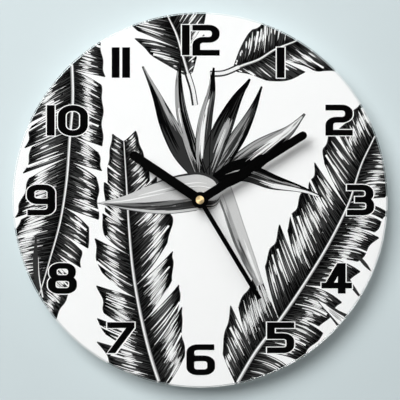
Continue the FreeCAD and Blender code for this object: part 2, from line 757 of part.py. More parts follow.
def build_bridge():
    """The plate that holds the rear pivots."""
    bridge = new_body("train_bridge")
    corners = [
        (-21.6, -9.6),
        (12.5, -9.6),
        (17.4, 2),
        (17.4, 8.6),
        (13.2, 14.2),
        (9, 14.2),
        (7.4, 10.6),
        (-14, 10.6),
        (-18, 11.5),
        (-21.6, 11.5),
    ]
    padded(bridge, outline(corners), cell("bridge_plane"), BRIDGE_FRONT)
    cut(bridge, discs(PIVOT_HOLE, [THIRD, IDLER, ROTOR, CENTRE]), cell("bridge_plane"), BRIDGE_FRONT)
    cut(bridge, discs(PIN_HOLE, BRIDGE_POSTS), cell("bridge_plane"), BRIDGE_FRONT)
    cut(bridge, discs(2.2, [(-14.5, -4.5), (0, -6), (4.6, 5.6)]), cell("bridge_plane"), BRIDGE_FRONT)


# --- Motor and electronics -----------------------------------------------------------------------


def upright(body, draw, low, high):
    """Material between two heights; draw puts (X, -depth) outlines in the sketch."""
    sketch = new_sketch(body, f"{body.Name}_section", "XY_Plane", low)
    draw(sketch)
    return pad(body, sketch, f"({high}) - ({low})")


def build_motor():
    rotor_x, rotor_z = str(ROTOR[0]), str(ROTOR[1])
    low, high, tab = cell("stator_low"), cell("stator_high"), cell("tab_wide")
    stator = new_body("stator_plate")
    padded(stator, box(cell("stator_left"), cell("stator_right"), low, high), cell("stator_plane"), STATOR_FRONT)
    padded(stator, disc(f"{cell('stator_hole')} + 1.4", rotor_x, rotor_z), cell("stator_plane"), STATOR_FRONT)
    cut(stator, disc(cell("stator_hole"), rotor_x, rotor_z), cell("stator_plane"), STATOR_FRONT)
    # Two notches in the rotor hole, which set where the rotor rests between steps.
    reach = value(cell("stator_hole"))
    notches = [
        (ROTOR[0] + side * reach * math.cos(math.pi / 4), ROTOR[1] + side * reach * math.sin(math.pi / 4))
        for side in (-1, 1)
    ]
    cut(stator, discs(0.45, notches), cell("stator_plane"), STATOR_FRONT)
    cut(stator, discs(STATOR_PIN_HOLE, STATOR_POSTS), cell("stator_plane"), STATOR_FRONT)

    bar = f"({tab} / 2)"
    tab_left, bar_left, bar_right = "14.6", f"({cell('coil_x')} - {bar})", f"({cell('coil_x')} + {bar})"
    core = new_body("coil_core")
    c_shape = [
        (tab_left, low),
        (bar_right, low),
        (bar_right, high),
        (tab_left, high),
        (tab_left, f"{high} - {tab}"),
        (bar_left, f"{high} - {tab}"),
        (bar_left, f"{low} + {tab}"),
        (tab_left, f"{low} + {tab}"),
    ]
    padded(core, outline(c_shape), STATOR_FRONT, CORE_FRONT)
    cut(core, discs(STATOR_PIN_HOLE, STATOR_POSTS), STATOR_FRONT, CORE_FRONT)

    # Bobbin and winding about the core's bar; the sketches' vertical axis is -depth.
    coil_x, coil_depth, bobbin_low, bobbin_high = (
        cell("coil_x"), cell("coil_depth"), cell("coil_low"), cell("coil_high")
    )

    def around(half_wide, half_deep):
        return box(
            f"{coil_x} - {half_wide}",
            f"{coil_x} + {half_wide}",
            f"-({coil_depth} + {half_deep})",
            f"-({coil_depth} - {half_deep})",
        )

    bobbin = new_body("coil_bobbin")
    upright(bobbin, around(1.9, 0.8), bobbin_low, bobbin_high)
    flange = around(f"({cell('coil_radius')} + 0.1)", f"({cell('coil_radius')} + 0.1)")
    upright(bobbin, flange, bobbin_low, f"{bobbin_low} + 0.8")
    upright(bobbin, flange, f"{bobbin_high} - 0.8", bobbin_high)
    channel = new_sketch(bobbin, "channel", "XY_Plane", bobbin_high)
    around(f"({bar} + 0.05)", f"({cell('lamination')} / 2 + 0.05)")(channel)
    pocket(bobbin, channel, f"{bobbin_high} - {bobbin_low}")

    def wound(sketch):
        circle(sketch, cell("coil_radius"), coil_x, f"-{coil_depth}")
        around(1.9, 0.8)(sketch)

    upright(new_body("coil_winding"), wound, f"{bobbin_low} + 0.8", f"{bobbin_high} - 0.8")


def build_electronics():
    board = new_body("circuit_board")
    edge = cell("board_edge")
    padded(board, box(cell("board_left"), edge, cell("board_low"), edge), cell("board_plane"), BOARD_FRONT)
    cut(board, discs(PIN_HOLE, BOARD_POSTS), cell("board_plane"), BOARD_FRONT)

    back = value(cell("board_plane"))
    turned("clock_chip", [("0", back), ("2.4", back), ("2.1", back - 0.6), ("1.2", back - 1), ("0", back - 1)],
           17.5, 21.5)

    # Watch crystal: a steel can lying on the front of the board, on two wires.
    board_front = value(BOARD_FRONT)
    can_depth, can_low = board_front + 1, 19.6
    crystal = Part.makeCylinder(1, 6, V(20, -can_depth, can_low), V(0, 0, 1))
    for side in (-0.4, 0.4):
        wire_x = 20 + side
        crystal = crystal.fuse(Part.makeCylinder(0.15, 0.5, V(wire_x, -can_depth, can_low - 0.5), V(0, 0, 1)))
        crystal = crystal.fuse(Part.makeCylinder(0.15, 1, V(wire_x, -board_front, can_low - 0.4), FORWARD))
    shaped("quartz_crystal", crystal)


def build_contacts():
    """Nickel-plated strips from the cell's two ends, along the case walls to the board."""
    wall, strip = CASE_INSIDE, f"({CASE_INSIDE} - {cell('contact_thick')})"
    back, front = cell("strip_back"), cell("strip_front")
    pad_low, pad_high = f"{cell('cell_z')} - 3.1", f"{cell('cell_z')} + 3.1"
    nub_back = f"{cell('cell_depth')} - 3.25"
    board_back = cell("board_plane")

    positive = new_body("positive_contact")
    padded(positive, box(strip, wall, pad_low, 21), back, front)
    padded(positive, box(strip, wall, pad_low, pad_high), nub_back, front)
    padded(positive, box(strip, wall, 19, 21), board_back, front)

    negative = new_body("negative_contact")
    padded(negative, box(f"-{wall}", f"-{strip}", pad_low, wall), back, front)
    padded(negative, box(f"-{wall}", f"-{strip}", pad_low, pad_high), nub_back, front)
    padded(negative, box(f"-{wall}", "16", strip, wall), back, front)
    padded(negative, box("14", "16", strip, wall), board_back, front)
    # Bowed leaf that presses on the cell's flat end.
    leaf, middle, thick = cell("cell_left"), cell("cell_z"), cell("contact_thick")
    bow = [
        (f"-{strip}", f"{middle} - 3.1"),
        (leaf, f"{middle} - 0.8"),
        (leaf, f"{middle} + 0.8"),
        (f"-{strip}", f"{middle} + 3.1"),
        (f"-{strip}", f"{middle} + 2.65"),
        (f"{leaf} - {thick}", f"{middle} + 0.65"),
        (f"{leaf} - {thick}", f"{middle} - 0.65"),
        (f"-{strip}", f"{middle} - 2.65"),
    ]
    padded(negative, outline(bow), f"{cell('cell_depth')} - 2", f"{cell('cell_depth')} + 2")


def lying(label, profile):
    """A body turned about the cell's axis, from (X, radius) pairs."""
    body = new_body(label)
    body.Placement.Base = V(0, -value(cell("cell_depth")), value(cell("cell_z")))
    sketch = new_sketch(body, f"{label}_profile", "XY_Plane")
    polygon(sketch, profile)
    feature = body.newObject("PartDesign::Revolution", f"{label}_turned")
    feature.Profile = sketch
    feature.ReferenceAxis = (sketch, ["H_Axis"])
    feature.Angle = 360
    doc.recompute()
    return body


def build_cell():
    left, outside = cell("cell_left"), cell("cell_radius")
    can = f"({outside} - {cell('sleeve_thick')})"
    shoulder = f"({left} + {cell('cell_length')} - {cell('nub_height')})"
    tip = f"({left} + {cell('cell_length')})"
    lying(
        "battery_can",
        [(left, "0"), (left, can), (shoulder, can), (shoulder, cell("nub_radius")), (tip, cell("nub_radius")),
         (tip, "0")],
    )
    dress(doc.getObject("battery_can"), "Fillet", is_any_circle(value(can)), "0.5")
    wrap_left, wrap_right = f"{left} + 0.5", f"{shoulder} - 0.5"
    lying("battery_sleeve", [(wrap_left, can), (wrap_left, outside), (wrap_right, outside), (wrap_right, can)])


# --- Wheels --------------------------------------------------------------------------------------


def arbor(radius, back, front):
    """An arbor between two depths with a pivot at each end, in the bridge and in a boss of the case."""
    pivot = value(cell("pivot_radius"))
    rear = value(cell("bridge_plane")) + 0.2
    shape = drum(radius, back, front)
    shape = shape.fuse(drum(pivot, rear, back))
    return shape.fuse(drum(pivot, front, value(FLOOR) - 0.2))


def arbor_ends():
    """Depths of the shoulders of an arbor: clear of the bridge and of the bosses."""
    return value(BRIDGE_FRONT) + 0.1, value(FLOOR) - value(cell("boss_height")) - 0.1


def build_wheels():
    low, high = arbor_ends()
    idler, seconds, third = (value(cell(f"{name}_plane")) for name in ("idler", "seconds", "third"))
    centre, work, hour = (value(cell(f"{name}_plane")) for name in ("centre", "minute_work", "hour_wheel"))
    rotor_module, seconds_module = number("rotor_module"), number("seconds_module")
    third_module, cannon_module = number("third_module"), number("cannon_module")
    centre_module, hour_module = value(CENTRE_MODULE), value(HOUR_MODULE)

    # Rotor: ferrite magnet on a moulded pinion.
    magnet_back = number("magnet_plane")
    magnet_front = magnet_back + number("magnet_thick")
    hub = 0.8
    magnet = drum(number("magnet_radius"), magnet_back, magnet_front).cut(drum(hub, magnet_back, magnet_front))
    shaped("rotor_magnet", magnet, ROTOR)
    leaf = pinion_leaf(whole("rotor_leaves"), rotor_module)
    pinion = toothed(whole("rotor_leaves"), leaf, 0, idler - 0.3, idler + 1)
    pinion = pinion.fuse([drum(hub, low, idler - 0.3), drum(1.6, magnet_front, idler - 0.3), arbor(0.5, low, high)])
    shaped("rotor_pinion", pinion, ROTOR)

    # Intermediate wheel.
    tooth = wheel_tooth(whole("idler_teeth"), rotor_module, whole("rotor_leaves"))
    phase = meshing_phase(whole("rotor_leaves"), 0, ROTOR, whole("idler_teeth"), IDLER)
    wheel = toothed(whole("idler_teeth"), tooth, phase, idler, idler + 0.7)
    wheel = wheel.cut(spoke_windows(4, 2.3, 4.9, 1, idler, idler + 0.7))
    leaf = pinion_leaf(whole("idler_leaves"), seconds_module)
    wheel = wheel.fuse([toothed(whole("idler_leaves"), leaf, 0, idler + 0.7, seconds + 1), arbor(0.5, low, high)])
    shaped("intermediate_wheel", wheel, IDLER)

    # Seconds wheel, moulded with its pinion, on a steel arbor that reaches out to the second hand.
    tooth = wheel_tooth(whole("seconds_teeth"), seconds_module, whole("idler_leaves"))
    phase = meshing_phase(whole("idler_leaves"), 0, IDLER, whole("seconds_teeth"), CENTRE)
    wheel = toothed(whole("seconds_teeth"), tooth, phase, seconds, seconds + 0.8)
    wheel = wheel.cut(spoke_windows(5, 2.6, 7.4, 1.2, seconds, seconds + 0.8))
    leaf = pinion_leaf(whole("seconds_leaves"), third_module)
    pinion_front = centre - 0.4
    wheel = wheel.fuse(toothed(whole("seconds_leaves"), leaf, 0, seconds + 0.8, pinion_front))
    steel = number("arbor_radius")
    wheel = wheel.fuse(drum(1.2, seconds - 1.2, seconds)).cut(drum(steel, 0, pinion_front + 1))
    shaped("seconds_wheel", wheel)
    rear_pivot = drum(number("pivot_radius"), number("bridge_plane") + 0.2, low)
    shaped("seconds_arbor", drum(steel, low, value(CAP_BACK)).fuse(rear_pivot))

    # Third wheel.
    tooth = wheel_tooth(whole("third_teeth"), third_module, whole("seconds_leaves"))
    phase = meshing_phase(whole("seconds_leaves"), 0, CENTRE, whole("third_teeth"), THIRD)
    wheel = toothed(whole("third_teeth"), tooth, phase, third, third + 0.8)
    wheel = wheel.cut(spoke_windows(4, 2.4, 7.3, 1.2, third, third + 0.8))
    leaf = pinion_leaf(whole("third_leaves"), centre_module)
    wheel = wheel.fuse([toothed(whole("third_leaves"), leaf, 0, third + 0.8, centre + 1.3), arbor(0.6, low, high)])
    shaped("third_wheel", wheel, THIRD)

    # Centre wheel, which drives the minute pipe through a spring clutch.
    pipe = number("minute_tube")
    tooth = wheel_tooth(whole("centre_teeth"), centre_module, whole("third_leaves"))
    phase = meshing_phase(whole("third_leaves"), 0, THIRD, whole("centre_teeth"), CENTRE)
    wheel = toothed(whole("centre_teeth"), tooth, phase, centre, centre + 1)
    wheel = wheel.cut(spoke_windows(5, 3.6, 7.4, 1.4, centre, centre + 1)).cut(drum(pipe, centre, centre + 1))
    shaped("centre_wheel", wheel)
    spring = drum(2.6, centre + 1, centre + 1.2).cut(drum(pipe, centre + 1, centre + 1.2))
    for index in range(3):
        blade = slab(2, 3.4, centre + 1, centre + 1.2, -0.5, 0.5)
        blade.rotate(V(0, 0, 0), V(0, 1, 0), 120 * index)
        spring = spring.fuse(blade)
    shaped("clutch_spring", spring)
    leaf = pinion_leaf(whole("cannon_leaves"), cannon_module)
    minute_front = number("minute_plane") + 1
    cannon = toothed(whole("cannon_leaves"), leaf, 0, centre + 1.2, work + 1.1)
    cannon = cannon.fuse([drum(pipe, centre - 0.2, minute_front), drum(2.2, centre - 0.2, centre)])
    shaped("minute_pipe", cannon.cut(drum(steel + number("running_gap"), centre - 1, minute_front + 1)))

    # Minute-work wheel, free on a post of the case.
    tooth = wheel_tooth(whole("minute_work_teeth"), cannon_module, whole("cannon_leaves"))
    work_phase = meshing_phase(whole("cannon_leaves"), 0, CENTRE, whole("minute_work_teeth"), MINUTE_WORK)
    wheel = toothed(whole("minute_work_teeth"), tooth, work_phase, work, work + 1)
    wheel = wheel.cut(spoke_windows(4, 2.7, 5.8, 1.2, work, work + 1))
    leaf = pinion_leaf(whole("minute_work_leaves"), hour_module)
    wheel = wheel.fuse(toothed(whole("minute_work_leaves"), leaf, 0, work + 1, hour + 1.2))
    shaped("minute_work_wheel", wheel.cut(drum(number("work_post") + 0.05, work - 1, hour + 2)), MINUTE_WORK)

    # Hour wheel, with the tube that carries the hour hand.
    tooth = wheel_tooth(whole("hour_teeth"), hour_module, whole("minute_work_leaves"))
    phase = meshing_phase(whole("minute_work_leaves"), 0, MINUTE_WORK, whole("hour_teeth"), CENTRE)
    hour_front = number("hour_plane") + 1
    wheel = toothed(whole("hour_teeth"), tooth, phase, hour, hour + 1.2)
    wheel = wheel.cut(spoke_windows(4, 3.4, 6.1, 1.4, hour, hour + 1.2)).fuse(drum(number("hour_tube"), hour, hour_front))
    shaped("hour_wheel", wheel.cut(drum(pipe + number("running_gap"), hour - 1, hour_front + 1)))

    # Setting pinion, whose arbor takes the knob.
    leaf = pinion_leaf(whole("setting_leaves"), cannon_module)
    phase = meshing_phase(whole("minute_work_teeth"), work_phase, MINUTE_WORK, whole("setting_leaves"), SETTING)
    knob_back, knob_front = number("knob_back"), number("knob_front")
    pinion = toothed(whole("setting_leaves"), leaf, phase, work - 0.1, work + 1.1)
    pinion = pinion.fuse([drum(number("setting_shaft"), knob_front, work - 0.1), drum(0.8, knob_back + 0.8, knob_front)])
    pinion = pinion.fuse([drum(0.8, work + 1.1, high), drum(number("pivot_radius"), high, value(FLOOR) - 0.2)])
    shaped("setting_pinion", pinion, SETTING)


def build_knob():
    radius, back, front = cell("knob_radius"), cell("knob_back"), cell("knob_front")
    knob = new_body("setting_knob", *SETTING)
    padded(knob, disc(radius), back, front)
    padded(knob, box(-4, 4, -0.7, 0.7), f"{back} - 0.3", back)
    cut(knob, disc("0.8"), f"{back} + 0.8", front)
    sketch = new_sketch(knob, "grip_notch", "XZ_Plane", front)
    circle(sketch, "0.45", radius)
    notch = pocket(knob, sketch, f"{front} - {back}")
    pattern = knob.newObject("PartDesign::PolarPattern", "grip")
    pattern.Originals = [notch]
    pattern.Axis = (sketch, ["N_Axis"])
    pattern.Angle = 360
    pattern.Occurrences = whole("knob_notches")
    knob.Tip = pattern
    doc.recompute()


# --- Hands ---------------------------------------------------------------------------------------

HOUR_ANGLE = f"({cell('shown_hours')} * 30 + {cell('shown_minutes')} / 2)"
MINUTE_ANGLE = f"({cell('shown_minutes')} * 6)"
SECOND_ANGLE = f"({cell('shown_seconds')} * 6)"


def hand(label, blade, hub, hole, back, thick, angle):
    """A flat hand drawn at 12 and turned clockwise to its time."""
    body = new_body(label)
    front = f"{back} + {thick}"
    for draw in (disc(hub), *blade):
        padded(body, draw, back, front)
    cut(body, disc(hole), back, front)
    dress(body, "Chamfer", at_depth(value(front)), cell("hand_break"))
    body.Placement.Rotation = FreeCAD.Rotation(V(0, 1, 0), value(angle))
    return body


def tapered(length, root, tip):
    """Drawings of a tapered blade with a round end."""
    end = f"({length} - {tip} / 2)"
    sides = [(f"-{root} / 2", 0), (f"{root} / 2", 0), (f"{tip} / 2", end), (f"-{tip} / 2", end)]
    return [outline(sides), disc(f"({tip} / 2)", "0", end)]


def collet(label, bore, neck, plane):
    """The turned brass bush that a hand is riveted to."""
    flange = f"({neck} + 0.6)"
    front = f"{plane} + {cell('hand_thick')} + 0.2"
    profile = [(bore, f"{plane} - 0.6"), (flange, f"{plane} - 0.6"), (flange, plane), (neck, plane)]
    return turned(label, profile + [(neck, front), (bore, front)])


def build_hands():
    hour, minute, second = cell("hour_plane"), cell("minute_plane"), cell("second_plane")
    thick = cell("hand_thick")
    hour_neck, minute_neck, cap_neck = f"({cell('hour_tube')} + 0.65)", f"({cell('minute_tube')} + 1)", "1.2"
    blade = tapered(cell("hour_length"), cell("hour_root"), cell("hour_tip"))
    hand("hour_hand", blade, cell("hour_hub"), hour_neck, hour, thick, HOUR_ANGLE)
    collet("hour_hand_collet", cell("hour_tube"), hour_neck, hour)
    blade = tapered(cell("minute_length"), cell("minute_root"), cell("minute_tip"))
    hand("minute_hand", blade, cell("minute_hub"), minute_neck, minute, thick, MINUTE_ANGLE)
    collet("minute_hand_collet", cell("minute_tube"), minute_neck, minute)
    half = f"({cell('second_wide')} / 2)"
    blade = [box(f"-{half}", half, 0, cell("second_length"))]
    hand("second_hand", blade, cell("second_hub"), cap_neck, second, cell("second_thick"), SECOND_ANGLE)
    # The brass cap's spigot goes through the second hand and over the end of the arbor.
    steel, cap, face = cell("arbor_radius"), cell("cap_radius"), f"({CAP_BACK} + {cell('cap_height')})"
    turned(
        "centre_cap",
        [
            (steel, f"{second} - 1"),
            (cap_neck, f"{second} - 1"),
            (cap_neck, CAP_BACK),
            (cap, CAP_BACK),
            (cap, f"{face} - 0.35"),
            (f"{cap} - 0.3", f"{face} - 0.1"),
            ("0", face),
            ("0", CAP_BACK),
            (steel, CAP_BACK),
        ],
    )


# --- Check and write -----------------------------------------------------------------------------


def write_parts():
    doc.recompute()
    broken = [item.Label for item in doc.Objects if "Invalid" in item.State or "Error" in item.State]
    if broken:
        raise RuntimeError(f"features that failed: {broken}")
    os.makedirs("parts", exist_ok=True)
    for item in doc.Objects:
        if item.TypeId not in ("PartDesign::Body", "Part::Feature"):
            continue
        shape = item.Shape
        if shape.isNull() or not shape.isValid() or len(shape.Solids) != 1:
            raise RuntimeError(f"{item.Label}: not one valid solid")
        shape.exportStep(f"parts/{item.Label}.step")
        print(f"{item.Label:22s} {shape.Volume:10.2f} mm3")


build_dial()
build_fixings()
build_front_case()
build_rear_cover()
build_bridge()
build_motor()
build_electronics()
build_contacts()
build_cell()
build_wheels()
build_knob()
build_hands()
write_parts()
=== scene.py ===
"""A frameless wall clock: a round glass dial printed on its back, a quartz movement and three hands."""
import math
import bpy
import numpy as np
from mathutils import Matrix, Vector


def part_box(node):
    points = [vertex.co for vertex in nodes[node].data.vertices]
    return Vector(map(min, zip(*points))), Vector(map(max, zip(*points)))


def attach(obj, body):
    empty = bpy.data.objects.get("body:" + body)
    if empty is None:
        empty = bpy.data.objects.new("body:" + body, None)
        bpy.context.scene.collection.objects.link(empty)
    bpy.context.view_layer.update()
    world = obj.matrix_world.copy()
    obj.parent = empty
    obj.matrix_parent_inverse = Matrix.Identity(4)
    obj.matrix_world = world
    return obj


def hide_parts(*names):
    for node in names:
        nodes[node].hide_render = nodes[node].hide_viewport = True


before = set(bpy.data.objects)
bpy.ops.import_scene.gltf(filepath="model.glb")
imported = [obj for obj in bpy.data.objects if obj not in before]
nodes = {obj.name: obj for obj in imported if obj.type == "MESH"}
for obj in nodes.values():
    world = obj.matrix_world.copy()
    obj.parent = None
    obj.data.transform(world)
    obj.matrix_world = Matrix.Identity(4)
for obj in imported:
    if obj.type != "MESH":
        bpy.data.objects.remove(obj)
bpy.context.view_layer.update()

# ---------------------------------------------------------------------------------------------
# The print. It is flat ink on the back of the glass: a white ground, banana leaves and one
# strelitzia flower drawn in brush strokes, and black numerals with a white rim. All of it is
# drawn in millimetres, as the glass is seen from the front, one layer of ink for each tone.

MM = 0.001                      # one millimetre in Blender's metres
DIAL_CASE = "dial_and_case"     # the body that the dial and the case belong to
PRINT_RADIUS = 149.2            # ink stops just short of the ground edge of the glass
PRINT_BORE = 4.7
INK_BACK = -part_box("ink_layer")[1][1] / MM      # how far the ink stands off the wall
LIFT = 0.0008                   # strokes of one tone are laid this far over each other
LIFTS = 7
FINER = 12                      # points for each of a stroke's own where the rim cuts it
EDGE_LINE = 0.32                # half the width of the thin line round a petal

drawing = {}                    # each ink layer's strokes and patches, by its name


def ink_layer(name):
    """What is drawn so far in a layer of ink, or an empty one."""
    return drawing.setdefault(name, {"points": [], "half_widths": [], "bends": [], "edges": [],
                                     "faces": [], "count": 0})


def lay_down(name, path, half_width, bend=0.0):
    """Adds points to a layer, a little above what was laid there before, and returns their numbers."""
    layer = ink_layer(name)
    first = len(layer["points"])
    lift = LIFT * (layer["count"] % LIFTS)
    layer["count"] += 1
    layer["points"] += [(x, y, lift) for x, y in path]
    layer["half_widths"] += list(np.broadcast_to(half_width, len(path)))
    layer["bends"] += list(np.broadcast_to(bend, len(path)))
    return range(first, first + len(path))


def stroke(name, path, half_width, bend=0.0, closed=False):
    """A line of ink. half_width is its own at every point, bend rounds a corner."""
    numbers = lay_down(name, path, half_width, bend)
    edges = list(zip(numbers[:-1], numbers[1:]))
    if closed:
        edges.append((numbers[-1], numbers[0]))
    drawing[name]["edges"] += edges


def places_on(where, marks, line):
    """Places on a line, by marks that count along its own points."""
    return np.stack([np.interp(where, marks, line[:, i]) for i in (0, 1)], axis=-1)


def brush_line(name, path, half_width):
    """A stroke that is cut off cleanly where it runs past the rim of the print."""
    width = np.broadcast_to(half_width, len(path)).astype(float)
    if np.hypot(*path.T).max() > PRINT_RADIUS:
        marks = np.arange(len(path))
        fine = np.linspace(0, len(path) - 1, FINER * len(path))
        path = places_on(fine, marks, path)
        on_dial = np.hypot(*path.T) < PRINT_RADIUS
        path, width = path[on_dial], np.interp(fine, marks, width)[on_dial]
    if len(path) > 1:
        stroke(name, path, width)


def patch(name, rows):
    """A filled area of ink over a grid of points, row by row."""
    rows = np.array(rows, float)
    deep, wide = rows.shape[:2]
    first = lay_down(name, rows.reshape(-1, 2), 0.0)[0]
    for row in range(deep - 1):
        for column in range(wide - 1):
            corner = first + row * wide + column
            drawing[name]["faces"].append((corner, corner + 1, corner + wide + 1, corner + wide))


def smooth(points, steps):
    """A smooth line through a few points, with its own points evenly apart."""
    points = np.array(points, float)
    along = np.concatenate([[0], np.cumsum(np.hypot(*np.diff(points, axis=0).T))])
    slope = np.gradient(points, along, axis=0)
    where = np.linspace(0, along[-1], steps)
    k = np.clip(np.searchsorted(along, where, side="right") - 1, 0, len(points) - 2)
    span = (along[k + 1] - along[k])[:, None]
    t = (where - along[k])[:, None] / span
    return ((2 * t**3 - 3 * t**2 + 1) * points[k] + (t**3 - 2 * t**2 + t) * span * slope[k]
            + (3 * t**2 - 2 * t**3) * points[k + 1] + (t**3 - t**2) * span * slope[k + 1])


def lens(steps, blunt=0.7):
    """How a brush stroke swells and thins from end to end."""
    return np.sin(np.pi * np.linspace(0.02, 0.98, steps)) ** blunt


def headed(line, along):
    """Which way a line runs at each of its points, as steps of length one."""
    heading = np.gradient(line, along, axis=0)
    return heading / np.hypot(*heading.T)[:, None]


def sideways(heading):
    """A heading turned a quarter to its left."""
    return np.stack([-heading[:, 1], heading[:, 0]], axis=1)


WAVE, WAVE_RATE = 0.03, 0.36    # how far a leaf's margin waves in and out, as a share of its reach
TOP_CORNER, LOW_CORNER = 0.09, 0.08     # how far a lobe's upper corner juts, and its lower one draws in
SLIT_AREA = 900                 # a lobe has about one slit for so many square millimetres
TEAR_POWER = 1.5                # a tear opens slowly near the midrib and wider towards the margin
GROUND_LINE = 0.4               # half the width of the dark line along a lobe's sides


def leaf_side(rib, hand, reach, lean, bend, tears, sheen, rng):
    """One half of a torn leaf. Its lobes lie between tears, and its veins leave the midrib at a slant."""
    gone, line, heading = rib
    across = sideways(heading) * hand
    cuts = [(gone[0], 0.0)] + list(tears) + [(gone[-1], 0.0)]
    reach_at, reach_to = np.array(reach, float).T

    for (start, opening), (end, next_opening) in zip(cuts[:-1], cuts[1:]):
        ripple = rng.uniform(0, 2 * np.pi)
        tilt = rng.uniform(-0.06, 0.06)

        def vein(v, u):
            """The place at v across the lobe, from 0 to 1, and u from the midrib out to the margin."""
            v, u = np.broadcast_arrays(v, u)
            low = start + 0.5 * opening * u**TEAR_POWER
            high = end - 0.5 * next_opening * u**TEAR_POWER
            s = low + v * (high - low)
            far = np.interp(s, reach_at, reach_to) * (1 + WAVE * np.sin(WAVE_RATE * s + ripple) * u)
            far = far * (1 + (TOP_CORNER * v**4 - LOW_CORNER * (1 - v) ** 4) * u)
            slant = (lean + tilt) * u + bend * u**2
            way = places_on(s, gone, across) * u[..., None] + places_on(s, gone, heading) * slant[..., None]
            return places_on(s, gone, line) + way * far[..., None]

        def brush(name, v, u_from, u_to, half_width, shape=None):
            """A stroke along the vein at v, between two distances from the midrib."""
            t = np.linspace(0, 1, 9)
            swell = lens(9) if shape is None else shape(t)
            brush_line(name, vein(np.full(9, v), u_from + (u_to - u_from) * t), half_width * swell)

        def spike(t):
            """A stroke that starts full and runs out to a point."""
            return np.clip(1 - t, 0.04, 1) ** 0.6

        def comb(count):
            """Places across the lobe, one in each of so many equal parts."""
            count = max(1, int(count))
            return (np.arange(count) + rng.uniform(0.1, 0.9, count)) / count

        size = end - start
        far_mid = float(np.interp((start + end) / 2, reach_at, reach_to))
        columns = max(4, int(size / 2.5))
        patch("leaf_ground", vein(np.linspace(0, 1, columns)[None, :], np.linspace(0, 1, 14)[:, None]))
        rim = np.linspace(0, 1, columns + 3)
        side_run = np.linspace(0.1, 1, 8)
        for side in (0, 1):
            brush_line("leaf_ground", vein(0 * side_run + side, side_run),
                       GROUND_LINE * np.linspace(0.4, 1, 8))
        brush_line("leaf_ground", vein(rim, 0 * rim + 1), 0.45)

        glow = sheen * rng.choice([0.15, 0.5, 0.9, 1.2])
        crest = rng.uniform(0.5, 0.66)
        # Black roots along the midrib and black tips along the margin, then greys between them:
        # each loop lays one stroke for every so many millimetres of lobe.
        for v in comb(size / 1.5):
            brush("leaf_black", v, 0.02, rng.uniform(0.18, 0.45), rng.uniform(0.4, 0.8), spike)
        for v in comb(size / 1.9):
            brush("leaf_black", v, 0.99, rng.uniform(0.72, 0.86), rng.uniform(0.4, 0.9), spike)
        for v in comb(size / 2.4):
            middle, half = rng.uniform(0.3, 0.7), rng.uniform(0.12, 0.3)
            brush("leaf_grey", v, middle - half, middle + half, rng.uniform(0.25, 0.55))
        # The sheen along the lobe's crest, loose bright hairs, and fine black veins over both.
        for v in comb(size / 1.35 * glow):
            middle, half = rng.normal(crest, 0.05), rng.uniform(0.08, 0.1 + 0.14 * glow)
            low, high = max(0.1, middle - half), min(0.95, middle + half)
            brush("leaf_white", v, low, high, rng.uniform(0.35, 0.75))
        for v in comb(size / 5.5):
            brush("leaf_white", v, rng.uniform(0.8, 0.95), rng.uniform(0.15, 0.4), rng.uniform(0.3, 0.6))
        for v in comb(size / 2.6 * glow):
            brush("leaf_fine_black", v, rng.uniform(0.1, 0.3), crest + rng.uniform(-0.05, 0.2),
                  rng.uniform(0.25, 0.45), spike)
        for v in comb(size / 3.0 * glow):
            brush("leaf_fine_black", v, 0.97, crest + rng.uniform(-0.08, 0.12), rng.uniform(0.25, 0.5),
                  spike)
        # A few short slits, through which the white ground shows.
        for _ in range(int(size * far_mid / SLIT_AREA + rng.uniform(0.1, 0.9))):
            brush("leaf_slit", rng.uniform(0.15, 0.85), rng.choice([0.9, 1.02]), rng.uniform(0.08, 0.3),
                  rng.uniform(0.5, 1.0), spike)


def leaf(spine, left, right, seed, rib_width=1.0, sheen=1.0):
    """A torn leaf along its midrib. Left and right are its two hands, seen from the spine's first point.

    A side's reach is how far its margin stands off at places along the midrib, its tears are the places
    where it is torn and how wide, and lean and bend say how its veins slant forward and curve."""
    rng = np.random.default_rng(seed)
    line = smooth(spine, 120)
    steps = np.hypot(*np.diff(line, axis=0).T)
    gone = np.concatenate([[0], np.cumsum(steps)])
    heading = headed(line, gone)
    for hand, side in ((1, left), (-1, right)):
        leaf_side((gone, line, heading), hand, rng=rng, sheen=sheen, **side)
    thin = np.interp(gone / gone[-1], [0, 0.5, 1], [1.25, 1.0, 0.35]) * rib_width
    brush_line("rib_dark", line, 1.6 * thin)
    brush_line("rib_grey", line, 1.05 * thin)
    aside = sideways(heading)
    brush_line("rib_white", line + 0.25 * aside * thin[:, None], 0.55 * thin)


# The leaf down the left edge runs from the top to the bottom, the other four from their stalks out.
leaf([(-103.5, 140), (-103, 118), (-102, 80), (-104.5, 48), (-107, 15), (-112, -17), (-121, -50),
      (-133, -90)],
     left=dict(reach=[(0, 24), (60, 24), (90, 25), (140, 27), (165, 24), (200, 23), (232, 16)],
               tears=[(36, 7), (88, 9), (109, 7), (146, 9), (166, 4), (182, 6)], lean=0.3, bend=0.08),
     right=dict(reach=[(0, 36), (60, 34), (90, 31), (130, 34), (160, 34), (200, 32), (232, 24)],
                tears=[(30, 4), (62, 5), (84, 5), (106, 4), (142, 6), (172, 4), (196, 6)],
                lean=0.48, bend=0.05),
     seed=11, rib_width=0.95)
leaf([(-30, -154), (-39, -127), (-48, -90), (-53.5, -58), (-57, -20), (-59, 15), (-61, 47)],
     left=dict(reach=[(0, 30), (28, 34), (64, 27), (100, 27), (124, 20), (164, 16), (190, 11), (204, 8)],
               tears=[(30, 9), (48, 7), (78, 13), (112, 8), (134, 3), (160, 3)], lean=0.62, bend=0.12),
     right=dict(reach=[(0, 28), (40, 34), (80, 32), (110, 36), (140, 26), (170, 17), (192, 12), (204, 9)],
                tears=[(34, 4), (58, 9), (88, 10), (126, 3), (156, 3)], lean=0.62, bend=0.18),
     seed=23, rib_width=1.0, sheen=1.15)
